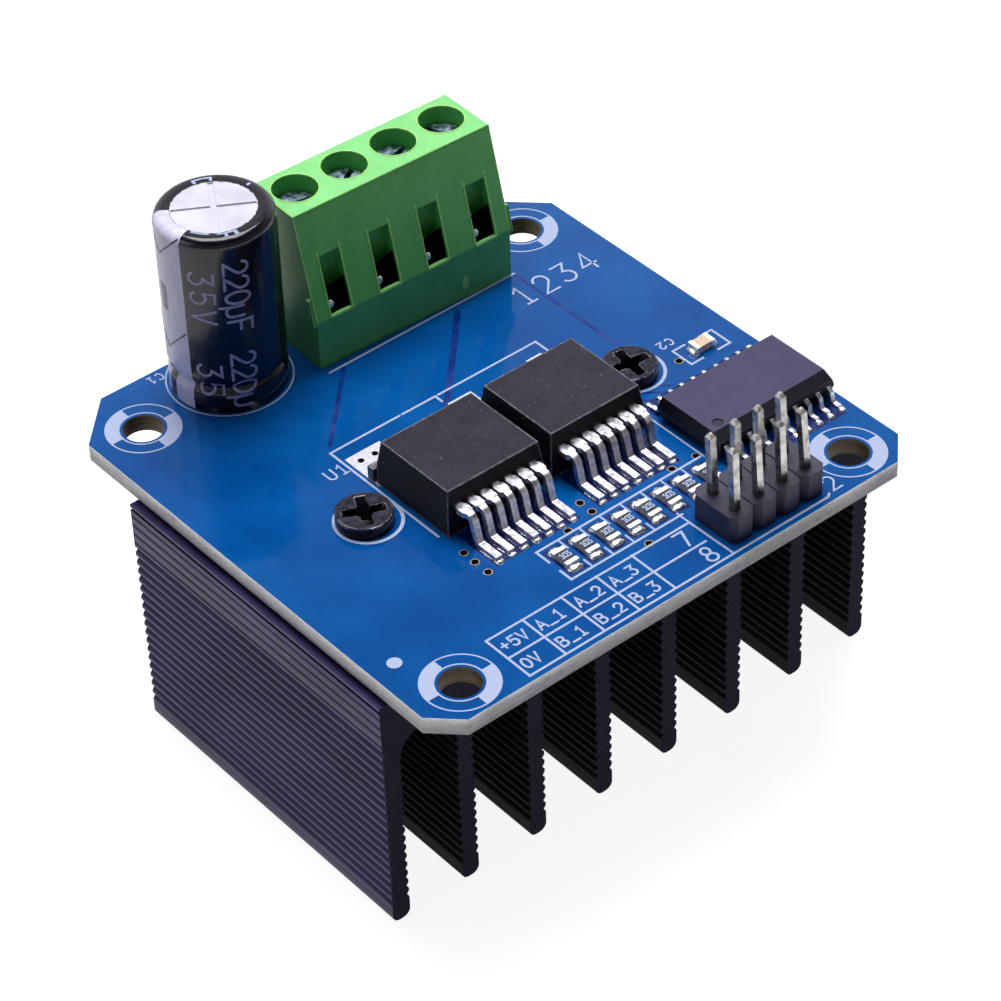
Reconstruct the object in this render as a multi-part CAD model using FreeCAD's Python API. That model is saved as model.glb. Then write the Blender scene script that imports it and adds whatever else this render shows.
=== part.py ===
"""Two-chip motor driver board screwed to a finned, black anodised heatsink.

All lengths are millimetres. +Z is up and the part rests on its fin tips at Z = 0.
X runs along the board's front edge, Y from the front edge to the back edge.
The origin is under the middle of the whole part.
"""
import FreeCAD, Part
import math
import os

Vector = FreeCAD.Vector

# Extruded heatsink
fin_count = 8
fin_pitch = 7.19
fin_thickness = 1.75
fin_tip_radius = 0.72
sink_height = 23.6
sink_length = 32.4
sink_centre_y = -1.8
base_thickness = 4.2
root_radius = 2.0
ridge_pitch = 0.966
ridge_depth = 0.24
ridge_crest = 0.30
plain_tip = 2.3
outer_plain_band = 1.2
lip_height = 0.28
lip_groove_height = 0.30
lip_groove_depth = 0.2

# Heat-conducting pad between heatsink and board
pad_thickness = 0.4
pad_length_x = 46.0
pad_length_y = 28.0

# Circuit board
board_length_x = 50.0
board_length_y = 50.0
board_thickness = 1.6
board_centre_x = -0.4
front_corner_cut = 2.46
back_corner_cut = 4.28
mount_side_inset = 4.6
mount_front_inset = 3.52
mount_back_inset = 5.58
mount_hole_radius = 1.75
small_hole_sides = 8

# Two screws that pull the board down on the heatsink
screw_spacing = 28.2
screw_y = -1.93
screw_radius = 1.45
screw_clearance = 0.15
thread_clearance = 0.05
screw_head_radius = 2.4
screw_head_height = 1.1
screw_head_bevel = 0.12
cross_width = 0.9
cross_length = 3.7
cross_throat = 2.3
cross_depth = 1.5
screw_turn_degrees = (-26.0, -7.4)

# Electrolytic capacitor
can_x = -10.9
can_back_inset = 4.77
can_radius = 4.9
can_height = 17.33
sleeve_thickness = 0.13
sleeve_lip_radius = 3.58
can_edge_round = 0.75
can_edge_steps = 2
neck_height = 2.5
neck_depth = 0.36
neck_half_width = 0.75
bung_radius = 4.2
bung_thickness = 3.0
bung_recess = 0.12
vent_groove_width = 0.5
vent_groove_depth = 0.14
vent_groove_length = 7.0
vent_turn_degrees = -32.0
can_lead_spacing = 5.0
can_lead_radius = 0.3
can_lead_below = 1.3
can_hole_radius = 0.45

# Four-pole screw terminal block
pole_count = 4
pole_pitch = 5.08
block_x = 5.58
block_back_inset = 1.15
block_skew_degrees = -1.75
block_depth = 8.4
block_height = 14.3
block_step_height = 4.75
block_top_front = 2.5
well_radius = 2.0
well_centre = 5.7
head_sunk = 1.5
clamp_screw_head_radius = 1.85
clamp_screw_head_height = 1.6
clamp_screw_radius = 1.25
clamp_screw_slot_width = 0.5
clamp_screw_slot_depth = 0.8
clamp_screw_bevel = 0.2
clamp_screw_tip_gap = 0.1
clamp_slot_degrees = (-8.0, 32.0, 18.0, -72.0)
ledge_thickness = 0.85
ledge_clearance = 0.2
chamber_wall = 0.54
chamber_front = 3.4
chamber_back_wall = 0.7
clamp_clearance = 0.15
clamp_floor = 1.0
clamp_wall = 0.42
clamp_window_height = 3.8
clamp_nut_thickness = 1.9
clamp_rest_height = 0.5
clamp_travel = 2.4
nut_clearance = 0.1
riser_space_front = 0.75
riser_space_half_width = 1.3
riser_space_height = 6.3
slot_half_width = 1.05
slot_bottom = 4.9
slot_top = 10.15
slot_back = 2.1
wire_entry_half_width = 1.5
wire_entry_bottom = 1.3
wire_entry_top = 5.0
wire_entry_flare = 0.35
terminal_bar_bottom = 4.3
terminal_strip_thickness = 0.8
terminal_bar_half_width = 1.0
terminal_riser_half_width = 0.5
terminal_riser_centre = 2.6
terminal_bar_back = 7.2
terminal_bend_radius = 0.55
terminal_below = 1.6
terminal_hole_radius = 0.75
rib_width = 0.55
rib_reach = 0.35
rib_bottom = 4.5
rib_top = 6.9

# Two power chips, each with seven formed leads
power_chip_x = (-5.42, 5.31)
power_body_front = -8.0
power_body_width = 10.0
power_body_depth = 9.0
power_body_height = 4.35
power_body_draft = 0.32
power_waist_height = 2.0
power_tab_thickness = 1.27
power_tab_width = 9.2
power_tab_ear_width = 10.3
power_tab_ear_length = 0.72
power_tab_inset = 1.6
power_tab_out = 1.08
power_lead_count = 7
power_lead_pitch = 1.27
power_lead_width = 0.62
power_lead_thickness = 0.5
power_lead_top = 2.83
power_shoulder_width = 1.02
power_shoulder_bevel = 0.28
power_shoulder_end = 1.3
power_lead_embed = 0.6
power_knee = 1.7
power_heel = 2.35
power_toe = 4.8
power_lead_bend = 0.55

# Logic chip with twenty gull-wing leads
logic_right_inset = 6.9
logic_y = -11.8
logic_length = 12.8
logic_width = 7.5
logic_height = 2.35
logic_standoff = 0.12
logic_draft = 0.28
logic_bevel = 0.75
logic_waist = 1.3
logic_lead_count = 10
logic_lead_pitch = 1.27
logic_lead_width = 0.42
logic_lead_thickness = 0.26
logic_lead_span = 10.3
logic_foot_length = 0.85
logic_lead_bend = 0.3
logic_lead_embed = 0.3
logic_dimple_radius = 0.55
logic_dimple_depth = 0.12
logic_dimple_inset = 1.35

# Two-row pin header
header_x = 10.7
header_front_inset = 3.75
header_pitch = 2.54
header_columns = 4
header_rows = 2
header_height = 2.54
header_corner = 0.55
header_seam_width = 0.12
header_seam_depth = 0.15
pin_width = 0.64
pin_above = 6.05
pin_below = 1.5
pin_point = 0.35
pin_point_inset = 0.17
pin_hole_radius = 0.5
front_pin_leans = ((-0.24, 0.06), (-0.36, 0.10), (-0.34, 0.08), (-0.52, 0.14))
back_pin_leans = ((-0.30, 0.05), (-0.22, 0.05), (-0.28, 0.08), (-0.40, 0.10))

# Chip resistors and the ceramic capacitor
resistor_count = 8
resistor_first_x = -5.3
resistor_pitch = 2.18
resistor_y = -16.15
resistor_length = 2.0
resistor_width = 1.25
resistor_height = 0.5
chip_cap_length = 0.38
chip_cap_step = 0.04
ceramic_right_inset = 4.15
ceramic_y = -3.4
ceramic_length = 2.0
ceramic_width = 1.25
ceramic_height = 0.75

# Solder cones under the board
solder_height = 1.0
solder_foot = 0.45
solder_tip = 0.2

# Worked-out levels and places
sink_width = (fin_count - 1) * fin_pitch + fin_thickness
pad_bottom = sink_height
board_bottom = pad_bottom + pad_thickness
board_top = board_bottom + board_thickness
screw_places = [board_centre_x - screw_spacing / 2, board_centre_x + screw_spacing / 2]
can_y = board_length_y / 2 - can_back_inset
block_front_y = board_length_y / 2 - block_back_inset - block_depth
logic_x = board_length_x / 2 - logic_right_inset
header_y = -board_length_y / 2 + header_front_inset
ceramic_x = board_length_x / 2 - ceramic_right_inset


def box(x0, x1, y0, y1, z0, z1):
    return Part.makeBox(x1 - x0, y1 - y0, z1 - z0, Vector(x0, y0, z0))


def cylinder(radius, z0, z1, x=0.0, y=0.0):
    return Part.makeCylinder(radius, z1 - z0, Vector(x, y, z0))


def prism(points, travel):
    """Solid swept from a closed outline of 3-D points."""
    outline = Part.makePolygon(points + [points[0]])
    return Part.Face(outline).extrude(travel)


def revolved(points):
    """Solid turned about Z from a closed half section of (radius, height) points."""
    outline = Part.makePolygon([Vector(r, 0, z) for r, z in points + [points[0]]])
    return Part.Face(outline).revolve(Vector(0, 0, 0), Vector(0, 0, 1), 360)


def stacked(sections):
    """Solid with flat sides through closed rings of corners, listed from the bottom up."""
    faces = []
    for ring in (sections[0], sections[-1]):
        faces.append(Part.Face(Part.makePolygon(ring + [ring[0]])))
    for low, high in zip(sections, sections[1:]):
        for i in range(len(low)):
            j = (i + 1) % len(low)
            faces.append(Part.Face(Part.makePolygon([low[i], low[j], high[j], high[i], low[i]])))
    shell = Part.Shell(faces)
    shell.sewShape()
    solid = Part.Solid(shell)
    if solid.Volume < 0:
        solid.reverse()
    return solid


def square_ring(half_x, half_y, z, x=0.0, y=0.0):
    """Corners of a rectangle at one level."""
    return [Vector(x - half_x, y - half_y, z), Vector(x + half_x, y - half_y, z),
            Vector(x + half_x, y + half_y, z), Vector(x - half_x, y + half_y, z)]


def small_round(rings):
    """Small round solid through (radius, height) sections, with few enough sides to stay light."""
    sections = []
    for radius, z in rings:
        corners = []
        for i in range(small_hole_sides):
            angle = 2 * math.pi * i / small_hole_sides
            corners.append(Vector(radius * math.cos(angle), radius * math.sin(angle), z))
        sections.append(corners)
    return stacked(sections)


def joined(shapes):
    whole = shapes[0]
    for shape in shapes[1:]:
        whole = whole.fuse(shape)
    return whole.removeSplitter()


def write(name, shape):
    shape.exportStep(os.path.join("parts", name + ".step"))


def on_board(shape, x=0.0, y=0.0):
    """Moves a shape drawn about its own middle on Z = 0 to its place on the board."""
    placed = shape.copy()
    placed.translate(Vector(board_centre_x + x, y, board_top))
    return placed


def bent_strip(route, bend, thickness, x0, x1, creased=False):
    """Flat strip bent along a route of (y, z) points, with the same bend radius at each corner.

    A creased strip has a flat across each bend, for leads that are too small for an arc to show.
    """
    def unit(a, b):
        length = math.dist(a, b)
        return ((b[0] - a[0]) / length, (b[1] - a[1]) / length)

    half = thickness / 2
    sides = {half: [], -half: []}
    for side, edges in sides.items():
        start = None
        for i in range(len(route) - 1):
            ahead = unit(route[i], route[i + 1])
            left = (-ahead[1], ahead[0])
            begin = route[i]
            end = route[i + 1]
            if i > 0:
                begin = tangent_out
            if i < len(route) - 2:
                after = unit(route[i + 1], route[i + 2])
                turn = math.acos(max(-1.0, min(1.0, ahead[0] * after[0] + ahead[1] * after[1])))
                cut = bend * math.tan(turn / 2)
                end = (end[0] - ahead[0] * cut, end[1] - ahead[1] * cut)
                tangent_out = (route[i + 1][0] + after[0] * cut, route[i + 1][1] + after[1] * cut)
            a = Vector(x0, begin[0] + left[0] * side, begin[1] + left[1] * side)
            b = Vector(x0, end[0] + left[0] * side, end[1] + left[1] * side)
            edges.append(Part.LineSegment(a, b).toShape())
            if i < len(route) - 2:
                sign = 1 if ahead[0] * after[1] - ahead[1] * after[0] > 0 else -1
                hub = (end[0] + left[0] * bend * sign, end[1] + left[1] * bend * sign)
                reach = bend - side * sign
                middle = (ahead[0] + after[0], ahead[1] + after[1])
                size = math.hypot(middle[0], middle[1])
                outward = (middle[1] / size * sign, -middle[0] / size * sign)
                left_after = (-after[1], after[0])
                c = Vector(x0, tangent_out[0] + left_after[0] * side, tangent_out[1] + left_after[1] * side)
                m = Vector(x0, hub[0] + outward[0] * reach, hub[1] + outward[1] * reach)
                curve = Part.LineSegment(b, c) if creased else Part.Arc(b, m, c)
                edges.append(curve.toShape())
    first = sides[half][0].Vertexes[0].Point, sides[-half][0].Vertexes[0].Point
    last = sides[half][-1].Vertexes[-1].Point, sides[-half][-1].Vertexes[-1].Point
    ends = [Part.LineSegment(first[0], first[1]).toShape(), Part.LineSegment(last[0], last[1]).toShape()]
    outline = Part.Wire(Part.__sortEdges__(sides[half] + sides[-half] + ends))
    return Part.Face(outline).extrude(Vector(x1 - x0, 0, 0))


def ridged_side(x, outward, top, bottom):
    """Points down one side of a fin, from top to bottom, with flat-crested ridges."""
    points = []
    count = int((top - bottom) / ridge_pitch + 0.5)
    slope = (ridge_pitch - ridge_crest) / 2
    for i in range(count):
        start = bottom + (count - i) * ridge_pitch
        valley = x - outward * ridge_depth
        points.append(Vector(valley, 0, start))
        points.append(Vector(x, 0, start - slope))
        points.append(Vector(x, 0, start - slope - ridge_crest))
    points.append(Vector(x - outward * ridge_depth, 0, bottom))
    points.append(Vector(x, 0, bottom - slope))
    return points


def make_heatsink():
    """One extrusion: a flat base with fins that carry fine ridges on both sides."""
    front = Vector(0, sink_centre_y - sink_length / 2, 0)
    half_width = sink_width / 2
    base_bottom = sink_height - base_thickness
    ridge_bottom = plain_tip
    solids = []
    base = box(-half_width, half_width, front.y, front.y + sink_length, base_bottom, sink_height)
    solids.append(base)
    for i in range(fin_count):
        middle = -half_width + fin_thickness / 2 + i * fin_pitch
        left = middle - fin_thickness / 2
        right = middle + fin_thickness / 2
        root = base_bottom - root_radius
        outer_top = sink_height - outer_plain_band
        left_top = outer_top if i == 0 else root
        right_top = outer_top if i == fin_count - 1 else root
        down = ridged_side(right, 1, right_top, ridge_bottom)
        up = ridged_side(left, -1, left_top, ridge_bottom)[::-1]
        tip = fin_tip_radius
        start_z = sink_height if i == fin_count - 1 else base_bottom + ridge_pitch
        end_z = sink_height if i == 0 else base_bottom + ridge_pitch
        side_edges = [Vector(right, 0, start_z)] + down + [Vector(right, 0, tip)]
        other_edges = [Vector(left, 0, tip)] + up + [Vector(left, 0, end_z)]
        turn = tip * (1 - math.cos(math.pi / 4))
        edges = []
        for run in (side_edges, other_edges):
            for a, b in zip(run, run[1:]):
                if (a - b).Length > 1e-6:
                    edges.append(Part.LineSegment(a, b).toShape())
        for side, inward in ((right, -1), (left, 1)):
            bend = Part.Arc(Vector(side, 0, tip), Vector(side + inward * turn, 0, turn),
                            Vector(side + inward * tip, 0, 0))
            edges.append(bend.toShape())
        edges.append(Part.LineSegment(Vector(right - tip, 0, 0), Vector(left + tip, 0, 0)).toShape())
        edges.append(Part.LineSegment(Vector(left, 0, end_z), Vector(right, 0, start_z)).toShape())
        outline = Part.Wire(Part.__sortEdges__(edges))
        fin = Part.Face(outline).extrude(Vector(0, sink_length, 0))
        fin.translate(front)
        solids.append(fin)
        for x, direction, open_side in ((left, -1, i > 0), (right, 1, i < fin_count - 1)):
            if open_side:
                solids.append(root_fillet(x, direction, base_bottom, front))
    whole = joined(solids)
    cutters = []
    groove_top = sink_height - lip_height
    for side in (-1, 1):
        outer = side * half_width
        inner = outer - side * lip_groove_depth
        low_x, high_x = min(outer, inner), max(outer, inner)
        cutters.append(box(low_x, high_x, front.y, front.y + sink_length,
                           groove_top - lip_groove_height, groove_top))
    for x in screw_places:
        cutters.append(cylinder(screw_radius + thread_clearance, base_bottom, sink_height, x, screw_y))
    for cutter in cutters:
        whole = whole.cut(cutter)
    write("heatsink", whole)


def root_fillet(x, direction, base_bottom, front):
    """Concave fillet where a fin side meets the underside of the base."""
    lap = ridge_depth
    corner = Vector(x - direction * lap, 0, base_bottom + lap)
    low = Vector(x, 0, base_bottom - root_radius)
    far = Vector(x + direction * root_radius, 0, base_bottom)
    bow = root_radius * (1 - math.cos(math.pi / 4))
    middle = Vector(x + direction * bow, 0, base_bottom - bow)
    edges = [
        Part.Arc(low, middle, far).toShape(),
        Part.LineSegment(far, Vector(far.x, 0, base_bottom + lap)).toShape(),
        Part.LineSegment(Vector(far.x, 0, base_bottom + lap), corner).toShape(),
        Part.LineSegment(corner, Vector(corner.x, 0, low.z)).toShape(),
        Part.LineSegment(Vector(corner.x, 0, low.z), low).toShape(),
    ]
    fillet = Part.Face(Part.Wire(Part.__sortEdges__(edges))).extrude(Vector(0, sink_length, 0))
    fillet.translate(front)
    return fillet


def make_pad():
    """Soft pad that carries the chips' heat from the board to the heatsink."""
    pad = box(-pad_length_x / 2, pad_length_x / 2, sink_centre_y - pad_length_y / 2,
              sink_centre_y + pad_length_y / 2, pad_bottom, board_bottom)
    for x in screw_places:
        pad = pad.cut(cylinder(screw_radius + screw_clearance, pad_bottom, board_bottom, x, screw_y))
    write("thermal_pad", pad)


def board_screw(turn):
    """Flat-topped pan head screw with a cross recess, drawn with its head on Z = 0."""
    reach = board_thickness + pad_thickness + base_thickness
    screw = revolved([
        (0, -reach), (screw_radius, -reach), (screw_radius, 0), (screw_head_radius, 0),
        (screw_head_radius, screw_head_height - screw_head_bevel),
        (screw_head_radius - screw_head_bevel, screw_head_height), (0, screw_head_height),
    ])
    half_width = cross_width / 2
    floor = screw_head_height - cross_depth
    arms = [
        stacked([square_ring(half_width, half_width, floor),
                 square_ring(cross_length / 2, half_width, screw_head_height)]),
        stacked([square_ring(half_width, half_width, floor),
                 square_ring(half_width, cross_length / 2, screw_head_height)]),
    ]
    throat = cross_throat / 2 / math.sqrt(2)
    middle = stacked([square_ring(half_width / 2, half_width / 2, floor),
                      square_ring(throat, throat, screw_head_height)])
    middle.rotate(Vector(0, 0, 0), Vector(0, 0, 1), 45)
    for cutter in arms + [middle]:
        screw = screw.cut(cutter)
    screw.rotate(Vector(0, 0, 0), Vector(0, 0, 1), turn)
    return screw


def make_board_screws():
    for i, x in enumerate(screw_places):
        screw = board_screw(screw_turn_degrees[i])
        screw.translate(Vector(x, screw_y, board_top))
        write("board_screw_%d" % (i + 1), screw)


def can_side(extra):
    """Half section of the can's side, from foot to rim, pushed out by an amount."""
    radius = can_radius + extra
    neck = radius - neck_depth
    rim = can_height + extra
    edge = can_edge_round + extra
    points = [(radius, neck_height - neck_half_width), (neck, neck_height),
              (radius, neck_height + neck_half_width)]
    for i in range(can_edge_steps + 1):
        angle = math.pi / 2 * i / can_edge_steps
        points.append((radius - edge + edge * math.cos(angle), rim - edge + edge * math.sin(angle)))
    return points


def make_capacitor():
    """Aluminium can with a scored top, rubber bung and shrunk sleeve, standing on two leads."""
    foot = sleeve_thickness
    can = revolved([(0, foot), (can_radius, foot)] + can_side(0.0) + [(0, can_height)])
    can = can.cut(cylinder(bung_radius, foot, foot + bung_recess + bung_thickness))
    half = vent_groove_width / 2
    for angle in (vent_turn_degrees, vent_turn_degrees + 90):
        groove = box(-vent_groove_length / 2, vent_groove_length / 2, -half, half,
                     can_height - vent_groove_depth, can_height)
        groove.rotate(Vector(0, 0, 0), Vector(0, 0, 1), angle)
        can = can.cut(groove)
    write("capacitor_can", on_board(can, can_x, can_y))

    outside = can_side(sleeve_thickness)
    inside = can_side(0.0)
    skin = [(bung_radius + foot, 0), (can_radius + sleeve_thickness, 0)] + outside
    skin += [(sleeve_lip_radius, can_height + sleeve_thickness), (sleeve_lip_radius, can_height)]
    skin += inside[::-1] + [(can_radius, foot), (bung_radius + foot, foot)]
    write("capacitor_sleeve", on_board(revolved(skin), can_x, can_y))

    bung_bottom = foot + bung_recess
    bung = cylinder(bung_radius, bung_bottom, bung_bottom + bung_thickness)
    lead_top = bung_bottom + bung_thickness
    lead_bottom = -board_thickness - can_lead_below
    leads = []
    for side in (-1, 1):
        lead = small_round([(can_lead_radius, lead_bottom), (can_lead_radius, lead_top)])
        lead.translate(Vector(side * can_lead_spacing / 2, 0, 0))
        bung = bung.cut(lead)
        leads.append(lead)
    write("capacitor_bung", on_board(bung, can_x, can_y))
    write("capacitor_leads", on_board(Part.makeCompound(leads), can_x, can_y))


def pole_offset(pole):
    return (pole - (pole_count - 1) / 2) * pole_pitch


def on_block(shape, pole=None):
    """Moves a shape drawn in the terminal block's own frame to its place on the board.

    In that frame X is measured from the block's middle, or from a pole's middle, and Y
    from its front wall. The block sits slightly turned on the board.
    """
    placed = shape.copy()
    if pole is not None:
        placed.translate(Vector(pole_offset(pole), 0, 0))
    placed.rotate(Vector(0, block_depth / 2, 0), Vector(0, 0, 1), block_skew_degrees)
    return on_board(placed, block_x, block_front_y)


def ledge_top():
    return block_height - head_sunk - clamp_screw_head_height


def make_terminal_housing():
    """Moulded housing with a sloped front, a chamber for each clamp and a well for each screw."""
    half = pole_count * pole_pitch / 2
    outline = [
        Vector(-half, 0, 0), Vector(-half, 0, block_step_height),
        Vector(-half, block_top_front, block_height), Vector(-half, block_depth, block_height),
        Vector(-half, block_depth, 0),
    ]
    housing = prism(outline, Vector(2 * half, 0, 0))
    slope = block_top_front / (block_height - block_step_height)
    for side in (-1, 1):
        foot_y = slope * (rib_bottom - block_step_height)
        root = rib_width / 2
        neck = root - rib_reach / 2
        rib = prism([
            Vector(side * half, foot_y + root - neck, rib_bottom),
            Vector(side * (half + rib_reach), foot_y, rib_bottom),
            Vector(side * (half + rib_reach), foot_y + rib_width, rib_bottom),
            Vector(side * half, foot_y + root + neck, rib_bottom),
        ], Vector(0, slope * (rib_top - rib_bottom), rib_top - rib_bottom))
        housing = housing.fuse(rib)
    ceiling = ledge_top() - ledge_thickness
    chamber_half = pole_pitch / 2 - chamber_wall
    chamber_back = block_depth - chamber_back_wall
    cutters = []
    for pole in range(pole_count):
        x = pole_offset(pole)
        cutters.append(cylinder(well_radius, ledge_top(), block_height, x, well_centre))
        cutters.append(cylinder(clamp_screw_radius + ledge_clearance, ceiling, ledge_top(), x, well_centre))
        cutters.append(box(x - chamber_half, x + chamber_half, chamber_front, chamber_back, 0, ceiling))
        cutters.append(box(x - riser_space_half_width, x + riser_space_half_width,
                           riser_space_front, chamber_front, 0, riser_space_height))
        cutters.append(box(x - slot_half_width, x + slot_half_width, 0, slot_back, slot_bottom, slot_top))
        cutters.append(box(x - wire_entry_half_width, x + wire_entry_half_width,
                           chamber_back, block_depth, wire_entry_bottom, wire_entry_top))
        cutters.append(wire_funnel(x))
    for cutter in cutters:
        housing = housing.cut(cutter)
    write("terminal_housing", on_block(housing.removeSplitter()))


def wire_funnel(x):
    """Flared mouth that leads a wire into its entry."""
    def mouth(y, extra):
        a = x - wire_entry_half_width - extra
        b = x + wire_entry_half_width + extra
        low = wire_entry_bottom - extra
        high = wire_entry_top + extra
        return [Vector(a, y, low), Vector(b, y, low), Vector(b, y, high), Vector(a, y, high)]

    return stacked([mouth(block_depth - wire_entry_flare, 0), mouth(block_depth, wire_entry_flare)])


def make_terminal_screw(pole):
    """Slotted clamp screw, held between the ledge of its well and the contact bar."""
    top = block_height - head_sunk
    tip = terminal_bar_bottom + terminal_strip_thickness + clamp_screw_tip_gap
    seat = ledge_top() + clamp_screw_tip_gap / 2
    screw = revolved([
        (0, tip), (clamp_screw_radius, tip), (clamp_screw_radius, seat), (clamp_screw_head_radius, seat),
        (clamp_screw_head_radius, top - clamp_screw_bevel),
        (clamp_screw_head_radius - clamp_screw_bevel, top), (0, top),
    ])
    slot = box(-clamp_screw_head_radius, clamp_screw_head_radius, -clamp_screw_slot_width / 2,
               clamp_screw_slot_width / 2, top - clamp_screw_slot_depth, top)
    slot.rotate(Vector(0, 0, 0), Vector(0, 0, 1), clamp_slot_degrees[pole])
    screw = screw.cut(slot)
    screw.translate(Vector(0, well_centre, 0))
    write("terminal_screw_%d" % (pole + 1), on_block(screw, pole))


def make_terminal_clamp(pole):
    """Folded cage with a threaded top, which the screw pulls up under the contact bar."""
    half = pole_pitch / 2 - chamber_wall - clamp_clearance
    front = chamber_front + clamp_clearance
    back = block_depth - chamber_back_wall - clamp_clearance
    window_bottom = clamp_rest_height + clamp_floor
    window_top = window_bottom + clamp_window_height
    top = window_top + clamp_nut_thickness
    cage = box(-half, half, front, back, clamp_rest_height, top)
    cage = cage.cut(box(-half + clamp_wall, half - clamp_wall, front, back, window_bottom, window_top))
    cage = cage.cut(cylinder(clamp_screw_radius + nut_clearance, window_top, top, 0, well_centre))
    write("terminal_clamp_%d" % (pole + 1), on_block(cage, pole))


def terminal_pin():
    """Contact bar through the cage, bent down to a solder pin."""
    bar_middle = terminal_bar_bottom + terminal_strip_thickness / 2
    bottom = -board_thickness - terminal_below
    route = [(terminal_riser_centre, bottom), (terminal_riser_centre, bar_middle),
             (terminal_bar_back, bar_middle)]
    strip = bent_strip(route, terminal_bend_radius, terminal_strip_thickness,
                       -terminal_riser_half_width, terminal_riser_half_width)
    blade = box(-terminal_bar_half_width, terminal_bar_half_width, chamber_front + clamp_clearance,
                terminal_bar_back, terminal_bar_bottom, terminal_bar_bottom + terminal_strip_thickness)
    return strip.fuse(blade).removeSplitter()


def power_lead(x):
    """Formed lead with a wide shoulder, drawn from the body's front wall at Y = 0 outwards."""
    middle = power_lead_top - power_lead_thickness / 2
    low = power_lead_thickness / 2
    route = [(power_lead_embed, middle), (-power_knee, middle), (-power_heel, low), (-power_toe, low)]
    half = power_lead_width / 2
    strip = bent_strip(route, power_lead_bend, power_lead_thickness, x - half, x + half)
    wide = power_shoulder_width / 2
    end = -power_shoulder_end
    bevel = power_shoulder_bevel
    outline = [
        Vector(x - half, 0, 0), Vector(x + half, 0, 0), Vector(x + wide, -bevel, 0),
        Vector(x + wide, end + bevel, 0), Vector(x + half, end, 0), Vector(x - half, end, 0),
        Vector(x - wide, end + bevel, 0), Vector(x - wide, -bevel, 0),
    ]
    shoulder = prism([p + Vector(0, 0, power_lead_top - power_lead_thickness) for p in outline],
                     Vector(0, 0, power_lead_thickness))
    return strip.fuse(shoulder).removeSplitter()


def tapered_body(length, width, levels):
    """Moulded body with flat leaning sides through (height, inset) levels, listed from the bottom up."""
    return stacked([square_ring(length / 2 - inset, width / 2 - inset, z) for z, inset in levels])


def make_power_chip(number, x):
    """Power chip: moulded body on a copper tab, with a row of formed leads."""
    body = tapered_body(power_body_width, power_body_depth, [
        (0, 0), (power_waist_height, 0), (power_body_height, power_body_draft),
    ])
    tab_front = -power_body_depth / 2 + power_tab_inset
    tab_back = power_body_depth / 2 + power_tab_out
    tab = box(-power_tab_width / 2, power_tab_width / 2, tab_front, tab_back, 0, power_tab_thickness)
    ear_front = tab_back - power_tab_ear_length
    ear_half = power_tab_ear_width / 2
    ear = box(-ear_half, ear_half, ear_front, tab_back, 0, power_tab_thickness)
    tab = joined([tab, ear])
    leads = []
    for i in range(power_lead_count):
        lead = power_lead((i - (power_lead_count - 1) / 2) * power_lead_pitch)
        lead.translate(Vector(0, -power_body_depth / 2, 0))
        leads.append(lead)
    body = body.cut(tab)
    for lead in leads:
        body = body.cut(lead)
    centre_y = power_body_front + power_body_depth / 2
    name = "power_chip_%d" % number
    write(name + "_body", on_board(body, x, centre_y))
    write(name + "_tab", on_board(tab, x, centre_y))
    write(name + "_leads", on_board(Part.makeCompound(leads), x, centre_y))


def make_logic_chip():
    """Wide logic chip with a bevelled front edge, a corner dimple and gull-wing leads."""
    top = logic_standoff + logic_height
    body = tapered_body(logic_length, logic_width, [
        (logic_standoff, logic_draft), (logic_waist, 0), (top, logic_draft),
    ])
    bevel = prism([
        Vector(-logic_length / 2, -logic_width / 2, top),
        Vector(-logic_length / 2, -logic_width / 2 + logic_draft + logic_bevel, top),
        Vector(-logic_length / 2, -logic_width / 2, top - logic_bevel),
    ], Vector(logic_length, 0, 0))
    body = body.cut(bevel)
    dimple_y = -logic_width / 2 + logic_draft + logic_bevel + logic_dimple_inset / 2
    body = body.cut(cylinder(logic_dimple_radius, top - logic_dimple_depth, top,
                             -logic_length / 2 + logic_dimple_inset, dimple_y))
    middle = logic_waist
    low = logic_lead_thickness / 2
    reach = logic_lead_span / 2
    wall = logic_width / 2
    knee = (reach - logic_foot_length + wall) / 2
    route = [(-wall + logic_lead_embed, middle), (-knee, middle),
             (-reach + logic_foot_length, low), (-reach, low)]
    half = logic_lead_width / 2
    leads = []
    for i in range(logic_lead_count):
        x = (i - (logic_lead_count - 1) / 2) * logic_lead_pitch
        lead = bent_strip(route, logic_lead_bend, logic_lead_thickness, x - half, x + half, creased=True)
        opposite = lead.copy()
        opposite.rotate(Vector(0, 0, 0), Vector(0, 0, 1), 180)
        leads += [lead, opposite]
    for lead in leads:
        body = body.cut(lead)
    write("logic_chip_body", on_board(body, logic_x, logic_y))
    write("logic_chip_leads", on_board(Part.makeCompound(leads), logic_x, logic_y))


def header_places():
    places = []
    for row in range(header_rows):
        for column in range(header_columns):
            x = (column - (header_columns - 1) / 2) * header_pitch
            y = (row - (header_rows - 1) / 2) * header_pitch
            places.append((x, y))
    return places


def header_pin(lean):
    """Square pin through the header body; its upper part leans as bent in use."""
    half = pin_width / 2
    small = half - pin_point_inset
    tip = header_height + pin_above
    foot = -board_thickness - pin_below
    neck = tip - pin_point
    share = (neck - header_height) / pin_above
    return stacked([
        square_ring(small, small, foot),
        square_ring(half, half, foot + pin_point),
        square_ring(half, half, header_height),
        square_ring(half, half, neck, lean[0] * share, lean[1] * share),
        square_ring(small, small, tip, lean[0], lean[1]),
    ])


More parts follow.
